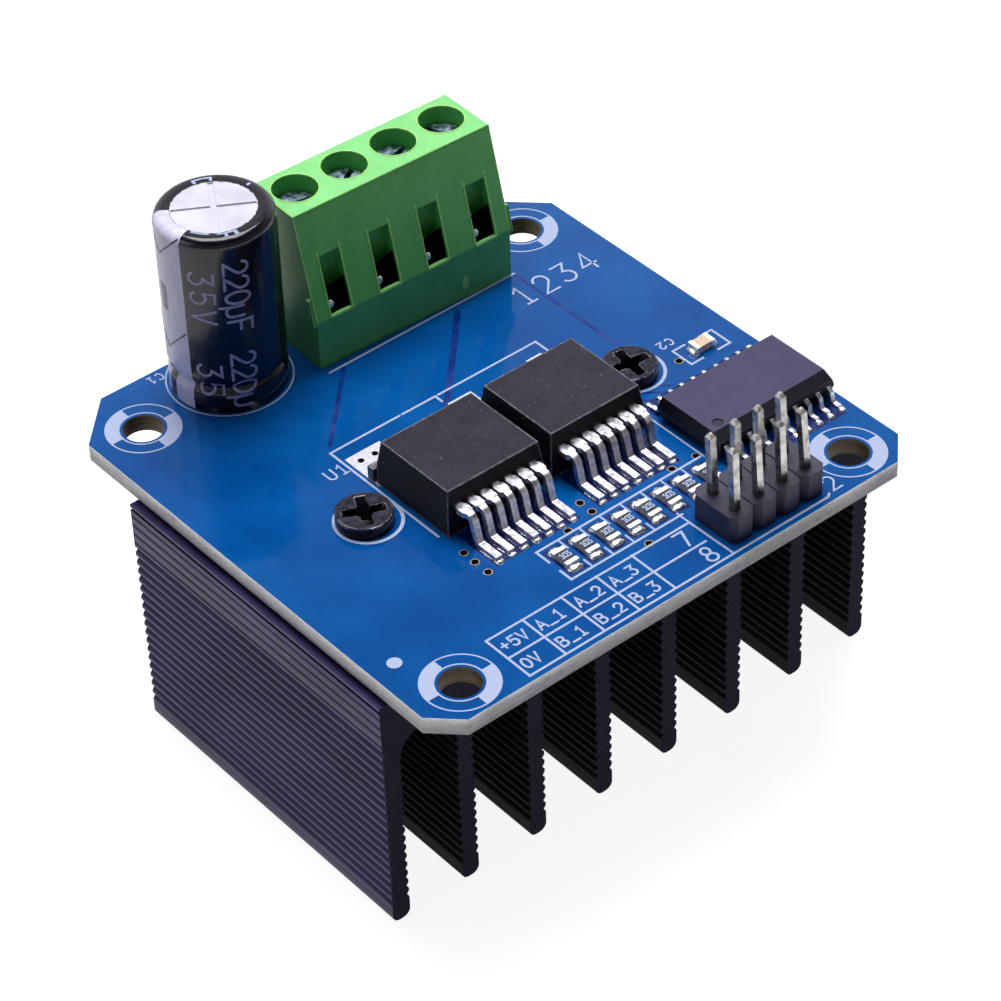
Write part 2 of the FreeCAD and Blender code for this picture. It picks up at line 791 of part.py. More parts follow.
def make_header():
    """Moulded header body of notched blocks, and its eight square pins."""
    half_length = header_columns * header_pitch / 2
    half_depth = header_rows * header_pitch / 2
    notch = header_corner
    front = []
    back = []
    for column in range(header_columns):
        left = -half_length + column * header_pitch
        right = left + header_pitch
        front += [Vector(left, -half_depth + notch, 0), Vector(left + notch, -half_depth, 0),
                  Vector(right - notch, -half_depth, 0)]
        back += [Vector(left, half_depth - notch, 0), Vector(left + notch, half_depth, 0),
                 Vector(right - notch, half_depth, 0)]
    front.append(Vector(half_length, -half_depth + notch, 0))
    back.append(Vector(half_length, half_depth - notch, 0))
    body = prism(front + back[::-1], Vector(0, 0, header_height))
    for column in range(1, header_columns):
        x = -half_length + column * header_pitch
        body = body.cut(box(x - header_seam_width / 2, x + header_seam_width / 2, -half_depth, half_depth,
                            header_height - header_seam_depth, header_height))
    leans = front_pin_leans + back_pin_leans
    for i, (x, y) in enumerate(header_places()):
        pin = header_pin(leans[i])
        pin.translate(Vector(x, y, 0))
        body = body.cut(pin)
        write("header_pin_%d" % (i + 1), on_board(pin, header_x, header_y))
    write("header_body", on_board(body, header_x, header_y))


def chip_part(length, width, height):
    """Ceramic chip part with a thin metal cap over each end, fired in one piece."""
    step = chip_cap_step
    core_x = length / 2 - step
    core_y = width / 2 - step
    core = box(-core_x, core_x, -core_y, core_y, step, height - step)
    left = box(-length / 2, -length / 2 + chip_cap_length, -width / 2, width / 2, 0, height)
    right = box(length / 2 - chip_cap_length, length / 2, -width / 2, width / 2, 0, height)
    return joined([core, left, right])


def make_chip_parts():
    for i in range(resistor_count):
        resistor = chip_part(resistor_length, resistor_width, resistor_height)
        resistor.rotate(Vector(0, 0, 0), Vector(0, 0, 1), 90)
        write("chip_resistor_%d" % (i + 1),
              on_board(resistor, resistor_first_x + i * resistor_pitch, resistor_y))
    ceramic = chip_part(ceramic_length, ceramic_width, ceramic_height)
    write("ceramic_capacitor", on_board(ceramic, ceramic_x, ceramic_y))


def solder(hole_radius, pin):
    """Solder that fills a plated hole and makes a cone under the board, round its pin."""
    foot = hole_radius + solder_foot
    tip = hole_radius - solder_tip
    barrel = small_round([(hole_radius, -board_thickness), (hole_radius, 0)])
    cone = small_round([(tip, -board_thickness - solder_height), (foot, -board_thickness)])
    return joined([barrel, cone]).cut(pin)


def terminal_joint(hole_radius):
    pin = terminal_pin()
    pin.translate(Vector(0, -terminal_riser_centre, 0))
    joint = solder(hole_radius, pin)
    joint.translate(Vector(0, terminal_riser_centre, 0))
    return joint


def make_solder():
    terminal = [on_block(terminal_joint(terminal_hole_radius), pole) for pole in range(pole_count)]
    write("terminal_solder", Part.makeCompound(terminal))
    pins = []
    for x, y in header_places():
        joint = solder(pin_hole_radius, header_pin((0.0, 0.0)))
        pins.append(on_board(joint, header_x + x, header_y + y))
    write("header_solder", Part.makeCompound(pins))
    leads = []
    for side in (-1, 1):
        lead_end = -board_thickness - can_lead_below
        lead = small_round([(can_lead_radius, lead_end), (can_lead_radius, bung_thickness)])
        leads.append(on_board(solder(can_hole_radius, lead), can_x + side * can_lead_spacing / 2, can_y))
    write("capacitor_solder", Part.makeCompound(leads))


def make_board():
    """Glass-fibre board with cut corners and its drilled holes."""
    half_x = board_length_x / 2
    half_y = board_length_y / 2
    front = front_corner_cut
    back = back_corner_cut
    underside = -board_thickness
    board = prism([
        Vector(-half_x + front, -half_y, underside), Vector(half_x - front, -half_y, underside),
        Vector(half_x, -half_y + front, underside), Vector(half_x, half_y - back, underside),
        Vector(half_x - back, half_y, underside), Vector(-half_x + back, half_y, underside),
        Vector(-half_x, half_y - back, underside), Vector(-half_x, -half_y + front, underside),
    ], Vector(0, 0, board_thickness))
    board = on_board(board)

    def drill(radius):
        return cylinder(radius, -board_thickness, 0)

    def soldered(radius):
        return small_round([(radius, -board_thickness), (radius, 0)])

    holes = []
    for x in (-half_x + mount_side_inset, half_x - mount_side_inset):
        for y in (-half_y + mount_front_inset, half_y - mount_back_inset):
            holes.append(on_board(drill(mount_hole_radius), x, y))
    for x in screw_places:
        holes.append(on_board(drill(screw_radius + screw_clearance), x - board_centre_x, screw_y))
    for pole in range(pole_count):
        hole = soldered(terminal_hole_radius)
        hole.translate(Vector(0, terminal_riser_centre, 0))
        holes.append(on_block(hole, pole))
    for x, y in header_places():
        holes.append(on_board(soldered(pin_hole_radius), header_x + x, header_y + y))
    for side in (-1, 1):
        holes.append(on_board(soldered(can_hole_radius), can_x + side * can_lead_spacing / 2, can_y))
    for hole in holes:
        board = board.cut(hole)
    write("circuit_board", board)


os.makedirs("parts", exist_ok=True)
make_heatsink()
make_pad()
make_board()
make_board_screws()
make_capacitor()
make_terminal_housing()
for pole_number in range(pole_count):
    make_terminal_screw(pole_number)
    make_terminal_clamp(pole_number)
    write("terminal_pin_%d" % (pole_number + 1), on_block(terminal_pin(), pole_number))
for chip_number, chip_x in enumerate(power_chip_x):
    make_power_chip(chip_number + 1, chip_x)
make_logic_chip()
make_header()
make_chip_parts()
make_solder()
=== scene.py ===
"""Two-chip motor driver module on its finned heatsink, dressed piece by piece in the order of assembly.

Lengths are in metres; values written in millimetres are multiplied by MM where they are used.
"""
import math
import random

import bpy
from mathutils import Matrix, Vector


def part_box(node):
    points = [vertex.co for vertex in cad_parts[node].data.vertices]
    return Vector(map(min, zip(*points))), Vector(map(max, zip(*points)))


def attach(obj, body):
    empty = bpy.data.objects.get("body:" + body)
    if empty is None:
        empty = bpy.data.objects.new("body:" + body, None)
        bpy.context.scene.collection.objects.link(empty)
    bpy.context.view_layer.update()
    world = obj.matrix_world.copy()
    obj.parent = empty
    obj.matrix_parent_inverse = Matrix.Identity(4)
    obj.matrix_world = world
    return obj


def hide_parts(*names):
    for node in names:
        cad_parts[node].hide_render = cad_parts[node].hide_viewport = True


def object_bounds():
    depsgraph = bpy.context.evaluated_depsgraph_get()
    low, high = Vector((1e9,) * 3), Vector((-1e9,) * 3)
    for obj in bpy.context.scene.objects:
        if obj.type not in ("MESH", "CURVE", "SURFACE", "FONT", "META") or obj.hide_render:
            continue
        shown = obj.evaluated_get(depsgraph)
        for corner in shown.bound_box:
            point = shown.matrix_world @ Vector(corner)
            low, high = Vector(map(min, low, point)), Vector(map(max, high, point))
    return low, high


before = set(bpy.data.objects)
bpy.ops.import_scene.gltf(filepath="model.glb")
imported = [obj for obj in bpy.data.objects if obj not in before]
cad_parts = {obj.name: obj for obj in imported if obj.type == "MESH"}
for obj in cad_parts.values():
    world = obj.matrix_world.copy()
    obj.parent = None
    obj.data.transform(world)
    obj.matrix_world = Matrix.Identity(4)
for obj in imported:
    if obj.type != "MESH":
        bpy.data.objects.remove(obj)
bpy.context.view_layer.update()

MM = 0.001

# Heatsink. An aluminium extrusion, black anodised, with fine ridges left by the die on both
# sides of each fin. Cut to length with a saw, so its end faces are plainer and duller than
# its drawn sides; their darker colour is painted shade. The ridges' valleys and the inner fin
# faces are darkened too, as painted shade. Two screws from above hold the board on it.


def surface(name):
    """A new material with its node tree, its shader and a texture coordinate in metres."""
    skin = bpy.data.materials.new(name)
    skin.use_nodes = True
    tree = skin.node_tree
    shader = tree.nodes["Principled BSDF"]
    place = tree.nodes.new("ShaderNodeTexCoord").outputs["Object"]
    return skin, tree, shader, place


def linear(red, green, blue):
    """The shader's colour for a colour that is written as it shows on a screen, 0 to 255."""
    def channel(value):
        value = value / 255
        return value / 12.92 if value <= 0.04045 else ((value + 0.055) / 1.055) ** 2.4
    return (channel(red), channel(green), channel(blue), 1.0)


def grain(tree, place, size, stretch=(1, 1, 1), detail=3.0, rough=0.55):
    """Noise whose lumps are about size millimetres across, drawn out along an axis by stretch."""
    mapping = tree.nodes.new("ShaderNodeMapping")
    mapping.inputs["Scale"].default_value = [1 / (size * MM * s) for s in stretch]
    tree.links.new(place, mapping.inputs["Vector"])
    noise = tree.nodes.new("ShaderNodeTexNoise")
    noise.inputs["Scale"].default_value = 1.0
    noise.inputs["Detail"].default_value = detail
    noise.inputs["Roughness"].default_value = rough
    tree.links.new(mapping.outputs["Vector"], noise.inputs["Vector"])
    return noise.outputs["Fac"]


def spread(tree, source, low, high, start=0.35, end=0.65):
    """Maps a noise or mask from start..end on to the range low..high."""
    node = tree.nodes.new("ShaderNodeMapRange")
    node.inputs["From Min"].default_value = start
    node.inputs["From Max"].default_value = end
    node.inputs["To Min"].default_value = low
    node.inputs["To Max"].default_value = high
    tree.links.new(source, node.inputs["Value"])
    return node.outputs["Result"]


def shade(tree, source, first, second, start=0.35, end=0.65):
    """Blends two colours by a noise or mask."""
    ramp = tree.nodes.new("ShaderNodeValToRGB")
    ramp.color_ramp.elements[0].position = start
    ramp.color_ramp.elements[0].color = first
    ramp.color_ramp.elements[1].position = end
    ramp.color_ramp.elements[1].color = second
    tree.links.new(source, ramp.inputs["Fac"])
    return ramp.outputs["Color"]


def relief(tree, shader, height, depth, normal=None):
    """Bump from a height source, its depth in millimetres, on given normals."""
    bump = tree.nodes.new("ShaderNodeBump")
    bump.inputs["Strength"].default_value = 1.0
    bump.inputs["Distance"].default_value = depth * MM
    tree.links.new(height, bump.inputs["Height"])
    if normal is not None:
        tree.links.new(normal, bump.inputs["Normal"])
    tree.links.new(bump.outputs["Normal"], shader.inputs["Normal"])


def axis(tree, source, letter):
    """One coordinate of a vector."""
    parts = tree.nodes.new("ShaderNodeSeparateXYZ")
    tree.links.new(source, parts.inputs["Vector"])
    return parts.outputs[letter]


def facing(tree, letter):
    """One coordinate of the surface's own normal."""
    return axis(tree, tree.nodes.new("ShaderNodeNewGeometry").outputs["True Normal"], letter)


def math_node(tree, operation, first, second=None, third=None):
    """A sum on sockets and plain numbers."""
    node = tree.nodes.new("ShaderNodeMath")
    node.operation = operation
    for socket, value in zip(node.inputs, (first, second, third)):
        if value is None:
            continue
        if isinstance(value, (int, float)):
            socket.default_value = value
        else:
            tree.links.new(value, socket)
    return node.outputs["Value"]


def blend_colours(tree, mask, first, second):
    """The first colour where a mask is 0, the second where it is 1."""
    mix = tree.nodes.new("ShaderNodeMix")
    mix.data_type = "RGBA"
    tree.links.new(mask, mix.inputs["Factor"])
    for socket, value in ((mix.inputs["A"], first), (mix.inputs["B"], second)):
        if isinstance(value, tuple):
            socket.default_value = value
        else:
            tree.links.new(value, socket)
    return mix.outputs["Result"]


def dress(node, skin):
    """Gives a solid of the frame its finish."""
    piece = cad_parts[node]
    piece.data.materials.clear()
    piece.data.materials.append(skin)
    return piece


sink_low, sink_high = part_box("heatsink")
PLAIN_TIP, RIDGE_PITCH, FIN_THICKNESS = 2.3, 0.966, 1.75
RIDGE_TOP, BASE_BOTTOM = 22.5, 19.4
anodised, tree, shader, place = surface("anodised black")
die_lines = grain(tree, place, 0.12, (1, 300, 1), 2.0)
cloud = grain(tree, place, 3.0, (1, 2.5, 1), 3.0)
scuffs = grain(tree, place, 0.9, (1, 3.0, 0.4), 3.0)
level = axis(tree, place, "Z")
across = axis(tree, place, "X")
climb = math_node(tree, "PINGPONG", math_node(tree, "SUBTRACT", level, PLAIN_TIP * MM), RIDGE_PITCH / 2 * MM)
crest = spread(tree, climb, 0.0, 1.0, 0.08 * MM, 0.32 * MM)
below = math_node(tree, "LESS_THAN", level, RIDGE_TOP * MM)
valley_shade = math_node(tree, "MULTIPLY", math_node(tree, "SUBTRACT", 1.0, crest), below)
tone = shade(tree, math_node(tree, "MULTIPLY_ADD", cloud, 0.6, math_node(tree, "MULTIPLY", die_lines, 0.4)),
             linear(38, 36, 70), linear(64, 61, 106), 0.36, 0.66)
tone = blend_colours(tree, spread(tree, scuffs, 0.0, 0.7, 0.7, 0.76), tone, linear(150, 148, 180))
# Painted shade: the ridges' valleys are darkened towards near black.
tone = blend_colours(tree, math_node(tree, "MULTIPLY", valley_shade, 0.75), tone, linear(12, 11, 24))
middle = (sink_low.x + sink_high.x) / 2
# Painted shade: the fin faces inside the two outer sides, below the base, are painted near black as the shade
# between the fins.
inner = math_node(tree, "LESS_THAN", math_node(tree, "ABSOLUTE", math_node(tree, "SUBTRACT", across, middle)),
                  sink_high.x - middle - 0.6 * FIN_THICKNESS * MM)
inner = math_node(tree, "MULTIPLY", inner, math_node(tree, "LESS_THAN", level, 23.3 * MM))
sawn_shaded_ends = math_node(tree, "GREATER_THAN", math_node(tree, "ABSOLUTE", facing(tree, "Y")), 0.9)
tone = blend_colours(tree, inner, tone, linear(2, 2, 7))
# Painted shade: the sawn end faces take a darker colour than the drawn sides; their duller finish is their
# own.
tree.links.new(blend_colours(tree, sawn_shaded_ends, tone, linear(19, 17, 42)), shader.inputs["Base Color"])
# The sawn ends and the shaded inner fins are made less metallic and rougher.
plain = math_node(tree, "MAXIMUM", sawn_shaded_ends, inner)
tree.links.new(math_node(tree, "MULTIPLY_ADD", plain, -0.5, 0.5), shader.inputs["Metallic"])
tree.links.new(math_node(tree, "MULTIPLY_ADD", plain, 0.4, spread(tree, die_lines, 0.34, 0.5)),
               shader.inputs["Roughness"])
high_band = math_node(tree, "MULTIPLY", below, math_node(tree, "GREATER_THAN", level, BASE_BOTTOM * MM))
side = math_node(tree, "GREATER_THAN", math_node(tree, "ABSOLUTE", facing(tree, "X")), 0.95)
carved = math_node(tree, "MULTIPLY", math_node(tree, "MULTIPLY", crest, high_band), side)
shader.inputs["Specular IOR Level"].default_value = 0.25
relief(tree, shader, math_node(tree, "MULTIPLY_ADD", die_lines, 0.03, carved), 0.22)
dress("heatsink", anodised)

# Heat pad. Grey silicone sheet with a ceramic filler, laid between the board's underside and
# the heatsink, squeezed to its thickness by the two screws.


def mottled(name, size, dark, light, smooth, rough, depth=0.0, detail=3.0):
    """A plain finish: one noise shades it, roughens it and, with a depth, lifts it."""
    skin, tree, shader, place = surface(name)
    speck = grain(tree, place, size, detail=detail)
    tree.links.new(shade(tree, speck, linear(*dark), linear(*light)), shader.inputs["Base Color"])
    tree.links.new(spread(tree, speck, smooth, rough), shader.inputs["Roughness"])
    if depth:
        relief(tree, shader, speck, depth)
    return skin, shader


silicone, shader = mottled("heat pad silicone", 0.12, (150, 152, 158), (178, 180, 186), 0.7, 0.85, 0.01, 2.0)
dress("thermal_pad", silicone)

# Circuit board. Glass-fibre laminate routed to shape, blue lacquer over copper on both faces,
# drilled and left with bare brown walls in its holes. The cut edge shows the pale woven layers.
board_low, board_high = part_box("circuit_board")
BOARD_TOP = board_high.z
BOARD_MIDDLE = (board_low + board_high) / 2
RIM_START, CORNER_REACH = 24.2, 1.6
lacquer, tree, shader, place = surface("blue lacquered board")
flat = math_node(tree, "GREATER_THAN", math_node(tree, "ABSOLUTE", facing(tree, "Z")), 0.7)
across = math_node(tree, "ABSOLUTE", math_node(tree, "SUBTRACT", axis(tree, place, "X"), BOARD_MIDDLE.x))
along = math_node(tree, "ABSOLUTE", axis(tree, place, "Y"))
diagonal = math_node(tree, "MULTIPLY", math_node(tree, "ADD", across, along), 0.5)
corner = math_node(tree, "ADD", diagonal, CORNER_REACH * MM)
reach = math_node(tree, "MAXIMUM", math_node(tree, "MAXIMUM", across, along), corner)
rim = math_node(tree, "GREATER_THAN", reach, RIM_START * MM)
mottle = grain(tree, place, 6.0, detail=3.0)
fine = grain(tree, place, 0.09, detail=2.0)
blue = shade(tree, math_node(tree, "MULTIPLY_ADD", mottle, 0.6, math_node(tree, "MULTIPLY", fine, 0.4)),
             linear(0, 74, 150), linear(4, 94, 174), 0.35, 0.65)
layers = grain(tree, place, 0.2, (30, 30, 1), 2.0)
chips = grain(tree, place, 0.35, (1.6, 1.6, 0.6), 3.0)
fibre = shade(tree, math_node(tree, "MULTIPLY_ADD", layers, 0.6, math_node(tree, "MULTIPLY", chips, 0.4)),
              linear(208, 205, 220), linear(255, 254, 255), 0.36, 0.56)
drilled = shade(tree, layers, linear(74, 62, 44), linear(134, 116, 86))
edge = blend_colours(tree, rim, drilled, fibre)
tree.links.new(blend_colours(tree, flat, edge, blue), shader.inputs["Base Color"])
tree.links.new(math_node(tree, "MULTIPLY_ADD", flat, -0.5, 0.6), shader.inputs["Roughness"])
shader.inputs["IOR"].default_value = 1.5
cut_edge = math_node(tree, "MULTIPLY", rim, math_node(tree, "SUBTRACT", 1.0, flat))
tree.links.new(cut_edge, shader.inputs["Subsurface Weight"])
shader.inputs["Subsurface Radius"].default_value = (1.0, 1.0, 1.0)
shader.inputs["Subsurface Scale"].default_value = 2.2 * MM
rim_chips = math_node(tree, "MULTIPLY", chips, rim)
relief(tree, shader, math_node(tree, "MULTIPLY_ADD", rim_chips, 0.5, mottle), 0.012)
dress("circuit_board", lacquer)

# Print on the board. White ink, screened through a mesh on the cured lacquer: thin, matt and
# slightly soft at its edges. Lines, rings and plain numbers only.
CARRIER = "module"
INK_THICKNESS = 0.018
LINE, THIN_LINE = 0.21, 0.16
LAYER = 0.0002


def build(name, vertices, faces, skin, body=CARRIER, smooth=False):
    """A mesh piece of the module that rides on one of its bodies."""
    mesh = bpy.data.meshes.new(name)
    mesh.from_pydata([tuple(v) for v in vertices], [], faces)
    mesh.update()
    piece = bpy.data.objects.new(name, mesh)
    bpy.context.collection.objects.link(piece)
    piece.data.materials.append(skin)
    if smooth:
        mesh.polygons.foreach_set("use_smooth", [True] * len(mesh.polygons))
    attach(piece, body)
    return piece


def on_board(x, y, z=0.0):
    """A point given in millimetres from the board's middle and top, in the frame."""
    return Vector((BOARD_MIDDLE.x + x * MM, y * MM, BOARD_TOP + z * MM))


class Stack:
    """Collects thin flat shapes that end up in one mesh."""

    def __init__(self):
        self.vertices = []
        self.faces = []
        self.layer = 0.0

    def lifted(self, height):
        """Each shape lies a hair above the one before, as overlapping strokes of ink do."""
        self.layer += LAYER
        return height + self.layer

    def shape(self, loops):
        """Joins neighbouring loops of equal length by quads and closes the last with a face."""
        start = len(self.vertices)
        count = len(loops[0])
        for loop in loops:
            self.vertices += loop
        for i in range(len(loops) - 1):
            a = start + i * count
            b = a + count
            for j in range(count):
                k = (j + 1) % count
                self.faces.append((a + j, a + k, b + k, b + j))
        self.faces.append(tuple(start + (len(loops) - 1) * count + j for j in range(count)))

    def patch(self, outline, height=INK_THICKNESS, low=0.0):
        """A flat plate with vertical sides from a closed outline in board millimetres."""
        top = self.lifted(low + height)
        self.shape([[on_board(x, y, low) for x, y in outline], [on_board(x, y, top) for x, y in outline]])

    def line(self, points, width=LINE, closed=False, height=INK_THICKNESS, low=0.0):
        """A line of even width with round ends through points in board millimetres."""
        half = width / 2
        points = [Vector((p[0], p[1])) for p in points]
        count = len(points)
        left, right = [], []
        for i, point in enumerate(points):
            before = points[i - 1] if i or closed else None
            after = points[(i + 1) % count] if i < count - 1 or closed else None
            into = (point - before).normalized() if before else (after - point).normalized()
            out = (after - point).normalized() if after else into
            bisector = into + out
            if bisector.length < 0.2:
                bisector = Vector((-into.y, into.x)) * 0.2 + into * 0.01
            bisector.normalize()
            normal = Vector((-bisector.y, bisector.x))
            reach = half / max(0.55, normal.dot(Vector((-into.y, into.x))))
            left.append(point + normal * reach)
            right.append(point - normal * reach)
        base = len(self.vertices)
        rings = len(points)
        top = self.lifted(low + height)
        for a, b in zip(left, right):
            self.vertices += [on_board(a.x, a.y, low), on_board(a.x, a.y, top),
                              on_board(b.x, b.y, top), on_board(b.x, b.y, low)]
        last = rings if closed else rings - 1
        for i in range(last):
            a = base + 4 * i
            b = base + 4 * ((i + 1) % rings)
            for j in range(3):
                self.faces.append((a + j, b + j, b + j + 1, a + j + 1))
        if not closed:
            for end, other, row in ((points[0], points[1], 0), (points[-1], points[-2], rings - 1)):
                away = (end - other).normalized()
                side = Vector((-away.y, away.x))
                cap = []
                for k in range(7):
                    angle = math.pi / 2 - math.pi * k / 6
                    p = end + away * half * math.cos(angle) + side * half * math.sin(angle)
                    cap.append(p)
                self.patch([(p.x, p.y) for p in cap], height, low)

    def ring(self, x, y, inner, outer, start=0.0, end=360.0, height=INK_THICKNESS, steps=64, low=0.0):
        """A flat ring or part of a ring round a point in board millimetres."""
        whole = end - start >= 360
        count = max(3, int(steps * (end - start) / 360))
        base = len(self.vertices)
        rows = count if whole else count + 1
        top = self.lifted(low + height)
        for i in range(rows):
            angle = math.radians(start + (end - start) * i / count)
            c, s = math.cos(angle), math.sin(angle)
            for radius, z in ((outer, low), (outer, top), (inner, top), (inner, low)):
                self.vertices.append(on_board(x + radius * c, y + radius * s, z))
        for i in range(count):
            a = base + 4 * i
            b = base + 4 * ((i + 1) % rows)
            for j in range(3):
                self.faces.append((a + j, b + j, b + j + 1, a + j + 1))

    def disc(self, x, y, radius, height=INK_THICKNESS, steps=32, low=0.0):
        """A round plate."""
        turns = [2 * math.pi * i / steps for i in range(steps)]
        outline = [(x + radius * math.cos(turn), y + radius * math.sin(turn)) for turn in turns]
        self.patch(outline, height, low)

    def plate(self, left, right, front, back, height):
        """A rectangular plate with its sides along the board's."""
        self.patch([(left, front), (right, front), (right, back), (left, back)], height)

    def write(self, text, x, y, height, turn=0.0, width=0.2, pitch=0.86, step=100.0):
        """Plotter lettering: text starts at a point and runs at a turn in degrees from +X.

        Strokes are divided into pieces no longer than a step, for a ground that curves.
        """
        direction = Vector((math.cos(math.radians(turn)), math.sin(math.radians(turn))))
        up = Vector((-direction.y, direction.x))
        for i, letter in enumerate(text):
            for stroke in GLYPHS[letter]:
                points = []
                for u, v in stroke:
                    p = Vector((x, y)) + direction * (u + i * pitch) * height + up * v * height
                    if points:
                        last = Vector(points[-1])
                        parts = max(1, math.ceil((p - last).length / step))
                        points += [tuple(last.lerp(p, k / parts)) for k in range(1, parts)]
                    points.append((p.x, p.y))
                closed = len(points) > 3 and (Vector(points[0]) - Vector(points[-1])).length < 1e-6
                self.line(points[:-1] if closed else points, width, closed)

    def finish(self, name, skin, body=CARRIER, smooth=False):
        """Makes the mesh piece of all that was collected."""
        return build(name, self.vertices, self.faces, skin, body, smooth)


def bow(cx, cy, rx, ry, start, end, steps=8):
    """Points along part of an ellipse, angles in degrees."""
    return [(cx + rx * math.cos(math.radians(start + (end - start) * i / steps)),
             cy + ry * math.sin(math.radians(start + (end - start) * i / steps))) for i in range(steps + 1)]


GLYPHS = {
    "0": [bow(0.3, 0.5, 0.28, 0.5, 90, 450, 20)],
    "1": [[(0.08, 0.78), (0.3, 1.0), (0.3, 0.0)], [(0.1, 0.0), (0.5, 0.0)]],
    "2": [bow(0.3, 0.7, 0.27, 0.3, 165, -35, 9) + [(0.03, 0.0), (0.58, 0.0)]],
    "3": [[(0.03, 1.0), (0.55, 1.0), (0.27, 0.6)] + bow(0.27, 0.3, 0.29, 0.3, 80, -150, 9)],
    "4": [[(0.44, 0.0), (0.44, 1.0), (0.0, 0.3), (0.6, 0.3)]],
    "5": [[(0.54, 1.0), (0.09, 1.0), (0.05, 0.55)] + bow(0.28, 0.32, 0.29, 0.32, 130, -150, 10)],
    "6": [[(0.48, 1.0), (0.12, 0.55)] + bow(0.3, 0.3, 0.28, 0.3, 150, 510, 16)],
    "7": [[(0.0, 1.0), (0.56, 1.0), (0.2, 0.0)]],
    "8": [bow(0.3, 0.75, 0.22, 0.25, 90, 450, 14), bow(0.3, 0.25, 0.28, 0.25, 90, 450, 16)],
    "9": [[(0.14, 0.0), (0.48, 0.45)] + bow(0.3, 0.7, 0.28, 0.3, -30, 330, 16)],
    "A": [[(0.0, 0.0), (0.3, 1.0), (0.6, 0.0)], [(0.1, 0.33), (0.5, 0.33)]],
    "B": [[(0.0, 0.0), (0.0, 1.0), (0.3, 1.0)] + bow(0.3, 0.77, 0.2, 0.23, 80, -80, 6) + [(0.02, 0.54)],
          [(0.3, 0.54)] + bow(0.3, 0.27, 0.25, 0.27, 80, -80, 7) + [(0.0, 0.0)]],
    "C": [bow(0.33, 0.5, 0.31, 0.5, 50, 310, 12)],
    "F": [[(0.5, 1.0), (0.0, 1.0), (0.0, 0.0)], [(0.0, 0.52), (0.42, 0.52)]],
    "U": [[(0.0, 1.0)] + bow(0.28, 0.3, 0.28, 0.3, 180, 360, 8) + [(0.56, 1.0)]],
    "V": [[(0.0, 1.0), (0.3, 0.0), (0.6, 1.0)]],
    "+": [[(0.05, 0.5), (0.55, 0.5)], [(0.3, 0.22), (0.3, 0.78)]],
    "-": [[(0.05, 0.5), (0.55, 0.5)]],
    "_": [[(0.0, -0.06), (0.62, -0.06)]],
    "u": [[(0.0, 0.7), (0.0, -0.3)],
          [(0.0, 0.2)] + bow(0.24, 0.2, 0.24, 0.22, 190, 350, 7) + [(0.48, 0.2), (0.48, 0.7)]],
    " ": [],
}

ink, shader = mottled("white screen ink", 0.08, (158, 174, 216), (192, 204, 238), 0.42, 0.6, 0.006, 2.0)

MOUNT_SPACING = (40.8, 40.9)
MOUNT_MIDDLE = (0.0, -1.03)
RING_OUTER, RING_INNER = 3.22, 1.98
SECTOR_TURN = 135.0
rings = Stack()
for right in (-1, 1):
    for back in (-1, 1):
        x = MOUNT_MIDDLE[0] + right * MOUNT_SPACING[0] / 2
        y = MOUNT_MIDDLE[1] + back * MOUNT_SPACING[1] / 2
        for middle in (SECTOR_TURN, SECTOR_TURN + 180):
            rings.ring(x, y, RING_INNER, RING_OUTER, middle - 45, middle + 45)
            for radius in (RING_INNER + 0.07, RING_OUTER - 0.07):
                rings.ring(x, y, radius - 0.07, radius + 0.07, middle + 45, middle + 135)
rings.finish("mount_rings", ink)

print_lines = Stack()
BOX_LEFT, BOX_RIGHT, BOX_BACK, BOX_FRONT = -10.95, 11.02, 6.55, -7.35
print_lines.line([(BOX_LEFT, BOX_FRONT), (BOX_LEFT, BOX_BACK), (-3.7, BOX_BACK)])
print_lines.line([(-3.4, BOX_BACK), (0.1, BOX_BACK)])
print_lines.line([(0.1, BOX_BACK), (0.1, BOX_BACK - 0.9)])
print_lines.line([(0.4, BOX_BACK), (BOX_RIGHT, BOX_BACK), (BOX_RIGHT, 1.8)])
print_lines.line([(-4.46, 14.9), (0.4, 14.95)])
print_lines.line([(0.6, 14.95), (5.4, 14.98)])
print_lines.line([(5.6, 14.98), (15.85, 15.05)])
TABLE_LEFT, TABLE_BACK, TABLE_MID, TABLE_FRONT = -16.0, -19.25, -21.88, -24.45
print_lines.line([(4.95, TABLE_BACK - 0.1), (TABLE_LEFT, TABLE_BACK),
                  (TABLE_LEFT, TABLE_FRONT), (15.33, TABLE_FRONT)])
print_lines.line([(TABLE_LEFT, TABLE_MID), (4.4, TABLE_MID)])
for x in (-12.35, -8.42, -4.83, -1.09):
    print_lines.line([(x, TABLE_BACK), (x, TABLE_FRONT)])
print_lines.line([(4.95, -17.9), (4.95, -19.35)], THIN_LINE)
print_lines.line([(4.95, TABLE_BACK - 0.1), (5.05, TABLE_FRONT + 0.05)])
print_lines.line([(15.33, TABLE_FRONT), (15.62, -24.2)])
RESISTORS, RESISTOR_FIRST, RESISTOR_PITCH, RESISTOR_Y = 8, -5.3, 2.18, -16.15
GRID_LEFT, GRID_RIGHT, GRID_BACK, GRID_FRONT = -6.45, 11.1, -14.0, -18.25
print_lines.line([(GRID_LEFT, -15.6), (GRID_LEFT, GRID_BACK), (GRID_RIGHT, GRID_BACK + 0.1)])
print_lines.line([(GRID_LEFT, -16.9), (GRID_LEFT, GRID_FRONT), (5.2, GRID_FRONT)])
for k in range(1, RESISTORS):
    x = RESISTOR_FIRST + RESISTOR_PITCH * (k - 0.5)
    print_lines.line([(x, GRID_BACK), (x, GRID_BACK - 1.25)], THIN_LINE)
    if x < 4.5:
        print_lines.line([(x, GRID_FRONT), (x, GRID_FRONT + 1.1)], THIN_LINE)
print_lines.line([(20.0, -4.55), (18.68, -4.55), (18.68, -2.2), (20.0, -2.2)])
